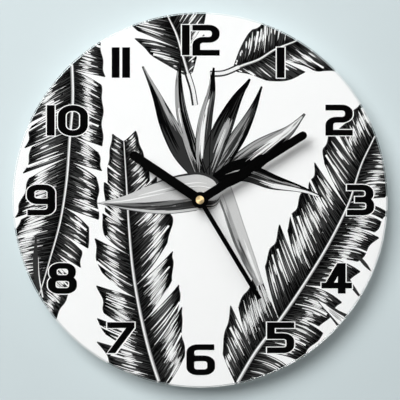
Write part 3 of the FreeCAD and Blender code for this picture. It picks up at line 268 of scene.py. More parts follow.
leaf([(29, -148), (44, -122.6), (64, -96), (85, -65), (107, -28), (119, -3), (130, 30), (140, 51), (152, 80)],
     left=dict(reach=[(0, 24), (25, 33), (60, 38), (110, 38), (150, 36), (190, 31), (230, 22), (262, 10)],
               tears=[(28, 7), (62, 5), (98, 8), (140, 4), (168, 7), (200, 4)], lean=0.62, bend=0.1),
     right=dict(reach=[(0, 24), (40, 33), (80, 31), (120, 29), (160, 30), (200, 26), (262, 10)],
                tears=[(30, 10), (66, 6), (96, 7), (122, 9), (150, 5), (172, 8), (196, 4)],
                lean=0.62, bend=-0.3),
     seed=37, rib_width=1.0, sheen=1.05)
leaf([(-9, 99.5), (-13.6, 115), (-19, 133), (-26, 148), (-33, 165)],
     left=dict(reach=[(0, 4), (8, 24), (22, 33), (40, 32), (70, 22)], tears=[(22, 8), (44, 4)],
               lean=0.75, bend=-0.1),
     right=dict(reach=[(0, 4), (8, 12), (20, 24), (40, 37), (70, 34)], tears=[(18, 6), (36, 4)],
                lean=0.6, bend=0.05),
     seed=41, rib_width=0.75, sheen=0.45)
leaf([(27, 104.5), (31, 106.5), (48, 113), (59, 120), (78, 128), (97, 139)],
     left=dict(reach=[(0, 3), (8, 24), (22, 26), (50, 22), (82, 14)], tears=[(21, 7), (46, 3)],
               lean=0.8, bend=-0.15),
     right=dict(reach=[(0, 3), (10, 18), (28, 27), (54, 32), (82, 20)], tears=[(30, 6), (56, 3)],
                lean=0.62, bend=0.1),
     seed=53, rib_width=0.75, sheen=0.75)
for stalk in ([(-4, 76), (-6, 88), (-10, 101)], [(8, 101), (18, 101.5), (31, 106.5)]):
    path = smooth(stalk, 20)
    brush_line("rib_dark", path, 2.5)
    brush_line("rib_white", path + (0.4, 0.2), 1.3)


def ribbon(spine, widths, steps=28):
    """A tapered shape along a spine: its own line, its heading turned a quarter, and its half width."""
    line = smooth(spine, steps)
    t = np.linspace(0, 1, steps)
    half = np.interp(t, np.linspace(0, 1, len(widths)), widths) / 2
    soft = np.convolve(np.pad(half, 2, mode="edge"), np.ones(5) / 5, mode="valid")
    return line, sideways(headed(line, 1.0)), soft


def petal(spine, widths, tone, streaks, seed, edge="flower_black"):
    """A petal or a stem: one patch of its own tone, thin dark edges, and streaks of other tones along it.

    A row of streaks says their layer, how far across the petal they lie (from -1 to 1), how many they
    are, how far along it they lie (from 0 to 1), and half their width."""
    rng = np.random.default_rng(seed)
    line, aside, half = ribbon(spine, widths)
    offsets = np.linspace(-1, 1, 5)
    patch(tone, [line + aside * half[:, None] * o for o in offsets])
    for o in (-1, 1):
        brush_line(edge, line + aside * half[:, None] * o, EDGE_LINE)
    for layer, side_from, side_to, count, start, end, wide in streaks:
        for _ in range(count):
            o = rng.uniform(side_from, side_to)
            a, b = sorted(rng.uniform(start, end, 2))
            if b - a < 0.25:
                b = min(end, a + 0.3)
            numbers = np.linspace(a, b, 9) * (len(line) - 1)
            beside = line + aside * half[:, None] * o
            path = places_on(numbers, np.arange(len(line)), beside)
            brush_line(layer, path, wide * rng.uniform(0.6, 1.2) * lens(9))


# The flower: a stem, seven pointed petals with a black heart between two of them, fanning out of the
# end of a long grey beak, and the beak.
petal([(18, 10), (24, -6), (30, -24), (41, -52), (48, -68)], [13, 12, 12, 10, 5.5], "stem_silver",
      [("flower_light", -0.95, -0.2, 30, 0.0, 1.0, 0.9), ("flower_grey", -1.0, -0.75, 12, 0.0, 0.7, 0.5),
       ("flower_pale", 0.1, 0.5, 8, 0.5, 0.98, 0.6)], 5, edge="flower_light")
petal([(12, 16), (34, 22), (60, 14), (80, 9), (97, 3)], [10, 14, 13, 6, 0.4], "flower_dark",
      [("flower_pale", -0.8, -0.2, 12, 0.4, 0.98, 0.6), ("flower_sheen", -0.6, 0.5, 9, 0.1, 0.8, 0.35),
       ("flower_grey", -0.3, 0.5, 10, 0.05, 0.8, 0.5), ("flower_black", 0.5, 1, 14, 0.0, 0.9, 0.5)], 6)
petal([(7, 12), (34, 28), (58, 46), (72, 56), (84, 69)], [14, 21, 21, 10, 0.4], "flower_grey",
      [("flower_pale", -0.3, 0.5, 13, 0.4, 0.97, 0.6), ("flower_black", -1, -0.55, 34, 0.0, 0.75, 0.9),
       ("flower_dark", -0.5, 0.9, 20, 0.0, 0.8, 0.5), ("flower_sheen", 0.0, 0.9, 16, 0.25, 0.9, 0.5)], 7,
      edge="flower_dark")
petal([(9, 12), (26, 24), (44, 31), (63, 39)], [9, 13, 8, 0.5], "flower_black", [], 14)
petal([(6, 16), (22, 38), (36, 60), (43, 74), (49.5, 91)], [10, 13, 12, 6, 0.4], "flower_light",
      [("flower_black", -1, -0.5, 16, 0.0, 0.95, 0.55), ("flower_dark", -0.5, 0.2, 14, 0.0, 1.0, 0.5),
       ("flower_grey", 0.1, 0.9, 12, 0.0, 0.9, 0.5), ("flower_black", -1, 1, 8, 0.72, 1.0, 0.6)], 8)
petal([(4, 16), (12, 42), (22, 66), (30, 82), (40, 97)], [9, 15, 15, 9, 0.4], "flower_dark",
      [("flower_black", -1, 1, 26, 0.35, 1.0, 0.7), ("flower_sheen", -0.9, 0.2, 15, 0.05, 0.6, 0.6),
       ("flower_pale", -0.5, 0.3, 3, 0.15, 0.5, 0.35)], 9)
petal([(3, 16), (2, 42), (5, 68), (9, 86), (11, 106)], [9, 12, 11, 7, 0.4], "flower_grey",
      [("flower_pale", -0.1, 0.4, 9, 0.1, 0.72, 0.6), ("flower_sheen", 0.4, 1, 12, 0.0, 0.9, 0.5),
       ("flower_dark", -1, -0.2, 16, 0.0, 0.9, 0.5), ("flower_black", -1, 1, 14, 0.7, 1.0, 0.6)], 10)
petal([(2, 18), (-8, 46), (-15, 72), (-17, 92), (-16, 113)], [9, 10, 9, 6, 0.4], "flower_grey",
      [("flower_sheen", 0.3, 0.95, 12, 0.0, 0.9, 0.5), ("flower_pale", 0.3, 0.6, 4, 0.3, 0.6, 0.4),
       ("flower_black", -0.7, 0.2, 20, 0.0, 1.0, 0.6), ("flower_dark", -1, 1, 10, 0.6, 1.0, 0.5)], 12)
petal([(0, 18), (-14, 38), (-26, 62), (-35, 84), (-46, 107)], [9, 16, 14, 6, 0.4], "flower_dark",
      [("flower_sheen", -0.95, -0.3, 14, 0.4, 0.99, 0.45), ("flower_sheen", -1.0, -0.7, 5, 0.0, 0.6, 0.5),
       ("flower_black", 0.0, 1, 22, 0.25, 0.85, 0.6)], 13)

# Tips of other leaves come in over the rim at the lower left and the lower right.
petal([(-131.5, -28), (-131.5, -52), (-127, -78)], [0.5, 4.6, 5], "rib_dark", [], 61, edge="rib_dark")
brush_line("rib_white", smooth([(-129.5, -46), (-129, -60), (-126, -78)], 12), 0.6 * np.linspace(0.2, 1, 12))
petal([(94, -80), (106, -90), (122, -103)], [0.5, 8, 17], "leaf_slit",
      [("rib_dark", -1.0, -0.7, 5, 0.2, 1.0, 0.7), ("rib_dark", 0.6, 1.0, 7, 0.2, 1.0, 0.9),
       ("rib_grey", -0.7, 0.6, 6, 0.3, 1.0, 0.4)], 63, edge="rib_dark")
for sliver in ([(125, -43), (131, -50), (137, -57)], [(114, -54), (120, -66), (130, -80)]):
    brush_line("rib_dark", smooth(sliver, 14), 1.5 * lens(14))

beak_top = smooth([(-82.5, -2.4), (-60, 3.5), (-40, 12), (-12, 20), (0, 21), (12, 16), (18, 5)], 40)
beak_foot = smooth([(-82.5, -2.4), (-56, -8), (-32, -11), (0, -8), (12, -6.5), (18, 5)], 40)
patch("beak_light", [beak_top + (beak_foot - beak_top) * t for t in np.linspace(0, 1, 8)])
stroke("beak_dark", beak_top[14:37] + (0, 0.2), 1.3 * np.linspace(0.2, 1, 23))
stroke("beak_grey", (beak_top + 0.35 * (beak_foot - beak_top))[20:35], 0.5 * lens(15))
stroke("beak_grey", beak_foot[:30], 0.3)
rng = np.random.default_rng(3)
beak_streaks = [("beak_grey", 0.6, 0.9, 26, 0.7), ("beak_dark", 0.72, 0.92, 14, 0.7),
                ("beak_pale", 0.1, 0.4, 5, 0.5)]
for layer, depth_from, depth_to, count, wide in beak_streaks:
    for _ in range(count):
        t = rng.uniform(depth_from, depth_to)
        a = rng.integers(2, 24)
        b = min(39, a + rng.integers(9, 20))
        line = (beak_top + (beak_foot - beak_top) * t)[a:b]
        stroke(layer, line, wide * rng.uniform(0.6, 1.2) * lens(len(line)))

# The numerals stand upright on a ring. Their pen is wider than it is high, so the paths are drawn
# stretched, and the whole layer is squeezed back to its height.
NUMERAL_RING = 128.0
RING_SHIFT = 0.6                # the ring of numerals sits a little to the right
NUDGES = {1: (0, -0.9), 4: (-1.6, 1.1), 5: (0, 0.5), 7: (0, 0.5), 8: (0, 1.2), 10: (4.2, -0.4), 11: (0, -0.9)}
DIGIT_WIDTH, DIGIT_GAP = 21.9, 2.1
DIGIT_WIDTHS = {"0": 25.0, "1": 6.3, "4": 23.8, "6": 23.4, "8": 24.0, "9": 23.4}
PEN_HALF, RIM = 3.15, 0.85      # half the pen's width, and the white rim around the ink
SQUEEZE = 0.74
LEFT, RIGHT, TOP, WAIST, FOOT = -7.8, 7.8, 10.05, 0.3, -10.05
OUT_X, OUT_Y = DIGIT_WIDTH / 2, TOP + PEN_HALF * SQUEEZE
ROUND = 5.6                     # the pen's turn at a rounded corner

bars = {
    "0": [([(LEFT, TOP), (RIGHT, TOP), (RIGHT, FOOT), (LEFT, FOOT)], 8.6, True)],
    "1": [([(0, FOOT - 2), (0, OUT_Y)], 0, False)],
    "2": [([(-OUT_X, TOP), (RIGHT, TOP), (RIGHT, WAIST), (LEFT, WAIST), (LEFT, FOOT - 2)], ROUND, False),
          ([(-OUT_X, FOOT), (OUT_X, FOOT)], 0, False)],
    "3": [([(-OUT_X, TOP), (RIGHT - 0.6, TOP), (RIGHT - 0.6, WAIST), (-4.5, WAIST)], ROUND, False),
          ([(-4.5, WAIST), (RIGHT, WAIST), (RIGHT, FOOT), (-OUT_X, FOOT)], ROUND, False)],
    "4": [([(3.4, FOOT - 2), (3.4, OUT_Y)], 0, False), ([(-OUT_X - 0.6, -5.6), (OUT_X, -5.6)], 0, False)],
    "5": [([(-OUT_X, TOP), (OUT_X, TOP)], 0, False), ([(LEFT, OUT_Y), (LEFT, WAIST - 1)], 0, False),
          ([(-OUT_X, WAIST + 1), (RIGHT, WAIST + 1), (RIGHT, FOOT), (-OUT_X, FOOT)], ROUND, False)],
    "6": [([(OUT_X - 0.8, TOP), (LEFT, TOP), (LEFT, FOOT), (RIGHT, FOOT), (RIGHT, WAIST + 0.8),
            (LEFT + 1, WAIST + 0.8)], ROUND, False)],
    "7": [([(-OUT_X, TOP), (OUT_X, TOP)], 0, False)],
    "8": [([(LEFT + 0.8, TOP), (RIGHT - 0.8, TOP), (RIGHT - 0.8, WAIST), (LEFT + 0.8, WAIST)], ROUND, True),
          ([(LEFT, WAIST), (RIGHT, WAIST), (RIGHT, FOOT), (LEFT, FOOT)], ROUND, True)],
}
bars["9"] = [([(-x, -y) for x, y in path], turn, closed) for path, turn, closed in bars["6"]]
slants = {
    "4": [(-OUT_X - 0.6, -7.6), (-OUT_X + 6.2, -7.6), (0.2, OUT_Y), (6.2, OUT_Y)],
    "7": [(-OUT_X, -OUT_Y), (-OUT_X + 6.4, -OUT_Y), (OUT_X - 6.6, TOP - 2), (OUT_X, TOP - 2)],
}


def draw_numeral(layer, text, x, y, rim):
    """Writes one hour around a point. A rim of more than 0 makes every stroke that much wider and longer."""
    widths = [DIGIT_WIDTHS.get(c, DIGIT_WIDTH) for c in text]
    left = x - (sum(widths) + DIGIT_GAP * (len(text) - 1)) / 2
    for c, width in zip(text, widths):
        middle = left + width / 2
        widen = 1.0 if c == "1" else width / DIGIT_WIDTH
        for path, turn, closed in bars[c]:
            pen = np.array(path) * (widen, 1 / SQUEEZE) + (middle, y / SQUEEZE)
            if not closed and rim:
                for end, before in ((0, 1), (-1, -2)):
                    step = pen[end] - pen[before]
                    pen[end] += step / np.hypot(*step) * rim
            stroke(layer, pen, PEN_HALF + rim, bend=turn, closed=closed)
        if c in slants:
            lower_left, lower_right, upper_left, upper_right = np.array(slants[c]) + (middle, y)
            out = np.array([rim * 1.3, 0])
            up = np.array([0, rim])
            patch(layer, np.array([[lower_left - out - up, lower_right + out - up],
                                   [upper_left - out, upper_right + out]]) / (1, SQUEEZE))
        left += width + DIGIT_GAP


for hour in range(1, 13):
    turn = math.radians(90 - 30 * hour)
    x, y = NUMERAL_RING * math.cos(turn) + RING_SHIFT, NUMERAL_RING * math.sin(turn)
    aside, up = NUDGES.get(hour, (0, 0))
    x, y = x + aside, y + up
    draw_numeral("numeral_rim", str(hour), x, y, RIM)
    draw_numeral("numerals", str(hour), x, y, 0.0)


def add(tree, kind, sockets=(), **settings):
    """Adds a node. The settings are its own options, and sockets says what goes into its inputs."""
    made = tree.nodes.new(kind)
    for name, value in settings.items():
        setattr(made, name, value)
    for socket, value in dict(sockets).items():
        if isinstance(value, bpy.types.NodeSocket):
            tree.links.new(value, made.inputs[socket])
        else:
            made.inputs[socket].default_value = value
    return made


def open_tree(name, kind, inputs, outputs):
    """A node tree, what is given to it, and its end. Each input is (name, type, starting value)."""
    tree = bpy.data.node_groups.new(name, kind)
    for label, socket_type, start in inputs:
        socket = tree.interface.new_socket(label, in_out="INPUT", socket_type=socket_type)
        if start is not None:
            socket.default_value = start
    for label, socket_type in outputs:
        tree.interface.new_socket(label, in_out="OUTPUT", socket_type=socket_type)
    return tree, tree.nodes.new("NodeGroupInput").outputs, tree.nodes.new("NodeGroupOutput")


def maths(tree, operation, *values):
    """What a maths node makes of some numbers."""
    return add(tree, "ShaderNodeMath", enumerate(values), operation=operation).outputs[0]


def vectors(tree, operation, *values):
    """What a vector maths node makes: a number for a length or a dot product, or else a vector."""
    made = add(tree, "ShaderNodeVectorMath", enumerate(values), operation=operation)
    return made.outputs["Value" if operation in ("LENGTH", "DOT_PRODUCT") else "Vector"]


def compare(tree, operation, *values):
    """Whether one number is greater or less than another."""
    return add(tree, "FunctionNodeCompare", enumerate(values), operation=operation).outputs[0]


def stand_up(tree, result, flat, height, stuff):
    """The end of a tree: a flat shape is raised off the wall, stood upright and given its material."""
    lift = add(tree, "ShaderNodeCombineXYZ", {"Z": height})
    raised = add(tree, "GeometryNodeTransform", {"Geometry": flat, "Translation": lift.outputs[0]})
    stood = add(tree, "GeometryNodeTransform", {
        "Geometry": raised.outputs[0], "Rotation": (math.pi / 2, 0, 0), "Scale": (MM, MM, MM)})
    real = add(tree, "GeometryNodeRealizeInstances", {"Geometry": stood.outputs[0]})
    made = add(tree, "GeometryNodeSetMaterial", {"Geometry": real.outputs[0], "Material": stuff})
    tree.links.new(made.outputs[0], result.inputs["Geometry"])
    return tree


def ink_tree():
    """Geometry Nodes that turn drawn lines and patches into flat ink on the dial."""
    number, flag, geometry = "NodeSocketFloat", "NodeSocketBool", "NodeSocketGeometry"
    tree, given, result = open_tree(
        "ink on the dial", "GeometryNodeTree",
        [("Drawing", geometry, None), ("Print Radius", number, PRINT_RADIUS),
         ("Bore Radius", number, PRINT_BORE), ("Height", number, 0.0), ("Squeeze", number, 1.0),
         ("Round Corners", flag, False), ("Ink", "NodeSocketMaterial", None)],
        [("Geometry", geometry)])
    drawn = given["Drawing"]
    print_radius, bore_radius = given["Print Radius"], given["Bore Radius"]

    # Edges with no face beside them are strokes: a flat pen is drawn along each, as wide as it says.
    beside = add(tree, "GeometryNodeInputMeshEdgeNeighbors")
    loose = add(tree, "FunctionNodeCompare", {2: beside.outputs[0], 3: 0}, data_type="INT", operation="EQUAL")
    half_width = add(tree, "GeometryNodeInputNamedAttribute", {"Name": "half_width"}, data_type="FLOAT")
    bend = add(tree, "GeometryNodeInputNamedAttribute", {"Name": "bend"}, data_type="FLOAT")
    lines = add(tree, "GeometryNodeMeshToCurve", {"Mesh": drawn, "Selection": loose.outputs[0]})
    rounded = add(tree, "GeometryNodeFilletCurve", {"Curve": lines.outputs[0], "Radius": bend.outputs[0],
                                                    "Limit Radius": True, "Count": 7}, mode="POLY")
    chosen = add(tree, "GeometryNodeSwitch", {
        "Switch": given["Round Corners"], "False": lines.outputs[0], "True": rounded.outputs[0]},
        input_type="GEOMETRY")
    pen = add(tree, "GeometryNodeCurvePrimitiveLine", {"Start": (-1, 0, 0), "End": (1, 0, 0)})
    ribbons = add(tree, "GeometryNodeCurveToMesh", {
        "Curve": chosen.outputs[0], "Profile Curve": pen.outputs[0], "Scale": half_width.outputs[0]})
    patches = add(tree, "GeometryNodeSeparateGeometry", {"Geometry": drawn, "Selection": True}, domain="FACE")
    both = add(tree, "GeometryNodeJoinGeometry")
    tree.links.new(ribbons.outputs[0], both.inputs[0])
    tree.links.new(patches.outputs[0], both.inputs[0])
    scale = add(tree, "ShaderNodeCombineXYZ", {"X": 1.0, "Y": given["Squeeze"], "Z": 1.0})
    flat = add(tree, "GeometryNodeTransform", {"Geometry": both.outputs[0], "Scale": scale.outputs[0]})

    # Faces wholly off the dial go, and points past the rim or inside the bore are pulled back to it.
    place = add(tree, "GeometryNodeInputPosition").outputs[0]
    radius = vectors(tree, "LENGTH", vectors(tree, "MULTIPLY", place, (1, 1, 0)))
    beyond = compare(tree, "GREATER_THAN", radius, print_radius)
    within = compare(tree, "LESS_THAN", radius, bore_radius)
    off_dial = add(tree, "FunctionNodeBooleanMath", {0: beyond, 1: within}, operation="OR")
    wholly = add(tree, "GeometryNodeFieldOnDomain", {0: off_dial.outputs[0]}, data_type="BOOLEAN",
                 domain="POINT")
    kept = add(tree, "GeometryNodeDeleteGeometry",
               {"Geometry": flat.outputs[0], "Selection": wholly.outputs[0]}, domain="FACE")
    held = add(tree, "ShaderNodeClamp", {"Value": radius, "Min": bore_radius, "Max": print_radius})
    share = maths(tree, "DIVIDE", held.outputs[0], radius)
    pull = add(tree, "ShaderNodeCombineXYZ", {"X": share, "Y": share, "Z": 1.0})
    pulled = vectors(tree, "MULTIPLY", place, pull.outputs[0])
    trimmed = add(tree, "GeometryNodeSetPosition", {"Geometry": kept.outputs[0], "Position": pulled})

    # Every face looks out of the dial.
    facing = add(tree, "GeometryNodeInputNormal").outputs[0]
    wrong = compare(tree, "LESS_THAN", vectors(tree, "DOT_PRODUCT", facing, (0, 0, 1)), 0.0)
    turned = add(tree, "GeometryNodeFlipFaces", {"Mesh": trimmed.outputs[0], "Selection": wrong})
    return stand_up(tree, result, turned.outputs[0], given["Height"], given["Ink"])


def make_piece(name, mesh, tree, values):
    """Makes a piece: a tree runs over a mesh with named values, and what comes out is its own plain mesh."""
    piece = bpy.data.objects.new(name, mesh)
    bpy.context.scene.collection.objects.link(piece)
    maker = piece.modifiers.new("maker", "NODES")
    maker.node_group = tree
    for socket in tree.interface.items_tree:
        if socket.item_type == "SOCKET" and socket.in_out == "INPUT" and socket.name in values:
            maker[socket.identifier] = values[socket.name]
    shown = piece.evaluated_get(bpy.context.evaluated_depsgraph_get())
    made = bpy.data.meshes.new_from_object(shown)
    made.name = name
    piece.modifiers.clear()
    piece.data = made
    return piece


def open_finish(name, inputs):
    """A shader group for a surface: named inputs, and a colour, a roughness and a height come out."""
    kinds = {3: "NodeSocketVector", 4: "NodeSocketColor"}
    sockets = [(label, kinds[len(start)] if isinstance(start, tuple) else "NodeSocketFloat", start)
               for label, start in inputs.items()]
    outputs = [("Colour", "NodeSocketColor"), ("Roughness", "NodeSocketFloat"), ("Height", "NodeSocketFloat")]
    tree, given, result = open_tree(name, "ShaderNodeTree", sockets, outputs)
    return tree, given, result, add(tree, "ShaderNodeTexCoord").outputs["Object"]


def close_finish(tree, result, colour, roughness, height):
    """Leads a surface's colour, roughness and height out of its shader group."""
    for label, value in (("Colour", colour), ("Roughness", roughness), ("Height", height)):
        tree.links.new(value, result.inputs[label])
    return tree


def noise(tree, place, scale, detail):
    """A cloudy pattern."""
    return add(tree, "ShaderNodeTexNoise", {"Vector": place, "Scale": scale, "Detail": detail}).outputs["Fac"]


def shaded(tree, colour, amount):
    """A colour made lighter or darker by an amount."""
    made = add(tree, "ShaderNodeVectorMath", {0: colour, "Scale": amount}, operation="SCALE")
    return made.outputs["Vector"]


def mixed(tree, share, first, second):
    """A colour between two others."""
    return add(tree, "ShaderNodeMix", {"Factor": share, "A": first, "B": second},
               data_type="RGBA").outputs["Result"]


def ink_group():
    """Shader group: a coat of screen ink, with a slow unevenness of cover and a fine tooth."""
    tree, given, result, place = open_finish(
        "screen ink", {"Colour": (1, 1, 1, 1), "Unevenness": 0.05, "Roughness": 0.5})
    cloud = noise(tree, place, scale=60.0, detail=3.0)
    tooth = noise(tree, place, scale=2600.0, detail=2.0)
    swing = maths(tree, "SUBTRACT", cloud, 0.5)
    swing = maths(tree, "MULTIPLY_ADD", swing, given["Unevenness"], 1.0)
    rough = maths(tree, "MULTIPLY_ADD", tooth, 0.12, given["Roughness"])
    return close_finish(tree, result, shaded(tree, given["Colour"], swing), rough, tooth)


def bare_material(name):
    """A material with its Principled shader only, and that shader."""
    material = bpy.data.materials.new(name)
    material.use_nodes = True
    return material, material.node_tree, material.node_tree.nodes["Principled BSDF"]


def finish(material, *names):
    """Gives a material to whole CAD pieces."""
    for name in names:
        piece = nodes[name]
        piece.data.materials.clear()
        piece.data.materials.append(material)


def dress(material_name, group, *names, bump=0.1, bump_depth=0.02, metallic=0.0, shader_values=(), **values):
    """Gives CAD pieces a material whose colour, roughness and relief come from one shader group.

    The values beyond the named ones go into the group's own inputs: grain_scale into Grain Scale."""
    material, tree, shader = bare_material(material_name)
    effect = add(tree, "ShaderNodeGroup", node_tree=group)
    for name, value in values.items():
        effect.inputs[name.replace("_", " ").title()].default_value = value
    relief = add(tree, "ShaderNodeBump", {"Strength": bump, "Distance": bump_depth * MM,
                                          "Height": effect.outputs["Height"]})
    tree.links.new(effect.outputs["Colour"], shader.inputs["Base Color"])
    tree.links.new(effect.outputs["Roughness"], shader.inputs["Roughness"])
    tree.links.new(relief.outputs[0], shader.inputs["Normal"])
    shader.inputs["Metallic"].default_value = metallic
    for name, value in dict(shader_values).items():
        shader.inputs[name].default_value = value
    finish(material, *names)
    return material


def grey(level):
    """A colour with no hue."""
    return (level, level, level, 1.0)


screen_ink = ink_group()
INKS = {"white": 0.93, "pale": 0.86, "silver": 0.58, "light": 0.38, "grey": 0.15, "dark": 0.030,
        "black": 0.0006}
PATCHY, EVEN = 0.1, 0.02        # how far a dark ink's cover varies, and a pale ink's
inks = {tone: dress("ink " + tone, screen_ink, colour=grey(level), unevenness=PATCHY if level < 0.5 else EVEN,
                    roughness=0.45, shader_values={"Specular IOR Level": 0.0})
        for tone, level in INKS.items()}
on_dial = ink_tree()

# The layers from the wall side up: each with the tone of its ink.
layers = [
    ("white_ground", "white"), ("leaf_ground", "dark"), ("leaf_grey", "grey"), ("leaf_black", "black"),
    ("leaf_white", "pale"), ("leaf_fine_black", "black"), ("leaf_slit", "white"), ("rib_dark", "dark"),
    ("rib_grey", "light"), ("rib_white", "pale"), ("stem_silver", "silver"), ("flower_light", "light"),
    ("flower_grey", "grey"), ("flower_dark", "dark"), ("flower_black", "black"), ("flower_sheen", "light"),
    ("flower_pale", "pale"), ("beak_light", "silver"), ("beak_grey", "grey"), ("beak_dark", "dark"),
    ("beak_pale", "pale"), ("numeral_rim", "white"), ("numerals", "black"),
]
turns = np.linspace(0, 2 * np.pi, 361)
ground_rings = np.concatenate([[PRINT_BORE], np.linspace(20, PRINT_RADIUS, 6)])
patch("white_ground", [np.stack([r * np.cos(turns), r * np.sin(turns)], axis=1) for r in ground_rings])

LAYER_STEP = 0.0062             # all the layers together stay within the ink's own thickness
FIRST_COAT = 0.004              # the white ground's own thickness
for number, (name, tone) in enumerate(layers):
    layer = drawing[name]
    mesh = bpy.data.meshes.new(name)
    mesh.from_pydata(layer["points"], layer["edges"], layer["faces"])
    for label, key in (("half_width", "half_widths"), ("bend", "bends")):
        mesh.attributes.new(label, "FLOAT", "POINT").data.foreach_set("value", layer[key])
    is_numeral = name.startswith("numeral")
    piece = make_piece("print_" + name, mesh, on_dial, {
        "Height": INK_BACK + FIRST_COAT + LAYER_STEP * number, "Squeeze": SQUEEZE if is_numeral else 1.0,
        "Round Corners": is_numeral, "Ink": inks[tone]})
    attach(piece, DIAL_CASE)
    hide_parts("ink_layer")

# ---------------------------------------------------------------------------------------------
# The glass dial: a disc of 4 mm float glass with a hole in its middle. It lies over the print,
# its faces are polished and its ground edge is duller.


def let_through(tree, where, shader):
    """Makes a material clear wherever a mask says."""
    clear = add(tree, "ShaderNodeBsdfTransparent")
    both = add(tree, "ShaderNodeMixShader", {"Fac": where, 1: shader.outputs[0], 2: clear.outputs[0]})
    tree.links.new(both.outputs[0], tree.nodes["Material Output"].inputs["Surface"])


GROUND_FROM, GROUND_TO = 0.7, 0.1       # the edge gets dull this far inside the rim, and is fully dull here


def from_arbor(tree, place):
    """How far a place is from the clock's own axis."""
    return vectors(tree, "LENGTH", vectors(tree, "MULTIPLY", place, (1, 0, 1)))


def see_through(name, tint, rim_radius):
    """Clear glass that lets light fall through onto what lies behind it, with a ground edge."""
    material, tree, shader = bare_material(name)
    place = add(tree, "ShaderNodeTexCoord").outputs["Object"]
    ground = add(tree, "ShaderNodeMapRange", {
        "Value": from_arbor(tree, place), "From Min": (rim_radius - GROUND_FROM) * MM,
        "From Max": (rim_radius - GROUND_TO) * MM, "To Min": 0.0, "To Max": 0.22})
    shine = maths(tree, "MULTIPLY", ground.outputs[0], noise(tree, place, scale=900.0, detail=2.0))
    relief = add(tree, "ShaderNodeBump", {"Strength": 0.15, "Distance": 0.01 * MM, "Height": shine})
    tree.links.new(shine, shader.inputs["Roughness"])
    tree.links.new(relief.outputs[0], shader.inputs["Normal"])
    for label, value in (("Base Color", tint), ("Transmission Weight", 1.0), ("IOR", 1.5),
                         ("Specular IOR Level", 0.25)):
        shader.inputs[label].default_value = value
    ray = add(tree, "ShaderNodeLightPath").outputs
    let_through(tree, maths(tree, "MAXIMUM", ray["Is Shadow Ray"], ray["Is Diffuse Ray"]), shader)
    return material


def disc_tree():
    """Geometry Nodes for a bored round plate: its section, rounded at the rim, is swept round the axis."""
    number, geometry = "NodeSocketFloat", "NodeSocketGeometry"
    tree, given, result = open_tree(
        "round plate", "GeometryNodeTree",
        [("Bore Radius", number, 4.5), ("Radius", number, 150.0), ("Edge Radius", number, 0.8),
         ("Back", number, 0.0), ("Front", number, 1.0), ("Stuff", "NodeSocketMaterial", None)],
        [("Geometry", geometry)])
    bore, radius = given["Bore Radius"], given["Radius"]
    back, front = given["Back"], given["Front"]
    section = add(tree, "GeometryNodeCurvePrimitiveQuadrilateral", {
        "Width": maths(tree, "SUBTRACT", radius, bore), "Height": maths(tree, "SUBTRACT", front, back)})
    place = add(tree, "GeometryNodeInputPosition")
    across = add(tree, "ShaderNodeSeparateXYZ", {0: place.outputs[0]}).outputs["X"]
    outer = maths(tree, "GREATER_THAN", across, 0.0)
    edge = maths(tree, "MULTIPLY", outer, given["Edge Radius"])
    rounded = add(tree, "GeometryNodeFilletCurve", {"Curve": section.outputs[0], "Radius": edge, "Count": 6,
                                                    "Limit Radius": True}, mode="POLY")
    middle = maths(tree, "MULTIPLY", maths(tree, "ADD", radius, bore), 0.5)
    ring = add(tree, "GeometryNodeCurvePrimitiveCircle", {"Resolution": 360, "Radius": middle})
    swept = add(tree, "GeometryNodeCurveToMesh", {"Curve": ring.outputs[0],
                                                  "Profile Curve": rounded.outputs[0]})
    facing = add(tree, "GeometryNodeInputNormal")
    rise = add(tree, "ShaderNodeSeparateXYZ", {0: facing.outputs[0]}).outputs["Z"]
    level = maths(tree, "GREATER_THAN", maths(tree, "ABSOLUTE", rise), 0.9999)
    crisp = add(tree, "GeometryNodeSetShadeSmooth", {"Geometry": swept.outputs[0], "Selection": level,
                                                     "Shade Smooth": False}, domain="FACE")
    halfway = maths(tree, "MULTIPLY", maths(tree, "ADD", back, front), 0.5)
    return stand_up(tree, result, crisp.outputs[0], halfway, given["Stuff"])


glass_low, glass_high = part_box("glass_dial")
GLASS_BORE, GLASS_EDGE = 4.5, 0.8
glass_radius = glass_high[0] / MM
clear_glass = see_through("float glass", (0.985, 0.995, 0.99, 1.0), glass_radius)
glass = make_piece("float_glass_disc", bpy.data.meshes.new("glass"), disc_tree(), {
    "Bore Radius": GLASS_BORE, "Radius": glass_radius, "Edge Radius": GLASS_EDGE,
    "Back": -glass_high[1] / MM, "Front": -glass_low[1] / MM, "Stuff": clear_glass})
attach(glass, DIAL_CASE)
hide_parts("glass_dial")

# ---------------------------------------------------------------------------------------------
# Behind the print: a white film that protects the ink, and black rubber for the gasket under the
# case and for the two spacers that keep the clock's lower edge off the wall.


def grain_group():
    """Shader group: moulded or rolled grain, with a slow change of tone, a fine relief and some dust."""
    tree, given, result, place = open_finish(
        "grain", {"Colour": (1, 1, 1, 1), "Roughness": 0.5, "Grain Scale": 1500.0, "Variation": 0.2,
                  "Dust": 0.0, "Stretch": (1, 1, 1)})
    drawn = vectors(tree, "MULTIPLY", place, given["Stretch"])
    grain = noise(tree, drawn, scale=given["Grain Scale"], detail=4.0)
    cloud = noise(tree, place, scale=45.0, detail=3.0)
    swing = maths(tree, "ADD", maths(tree, "ADD", grain, cloud), -1.0)
    swing = maths(tree, "MULTIPLY_ADD", swing, given["Variation"], 1.0)
    settled = add(tree, "ShaderNodeMapRange", {"Value": cloud, "From Min": 0.5, "From Max": 0.75})
    share = maths(tree, "MULTIPLY", settled.outputs[0], given["Dust"])
    dusty = mixed(tree, share, shaded(tree, given["Colour"], swing), (0.30, 0.29, 0.27, 1.0))
    rough = maths(tree, "MULTIPLY", swing, given["Roughness"])
    return close_finish(tree, result, dusty, rough, grain)


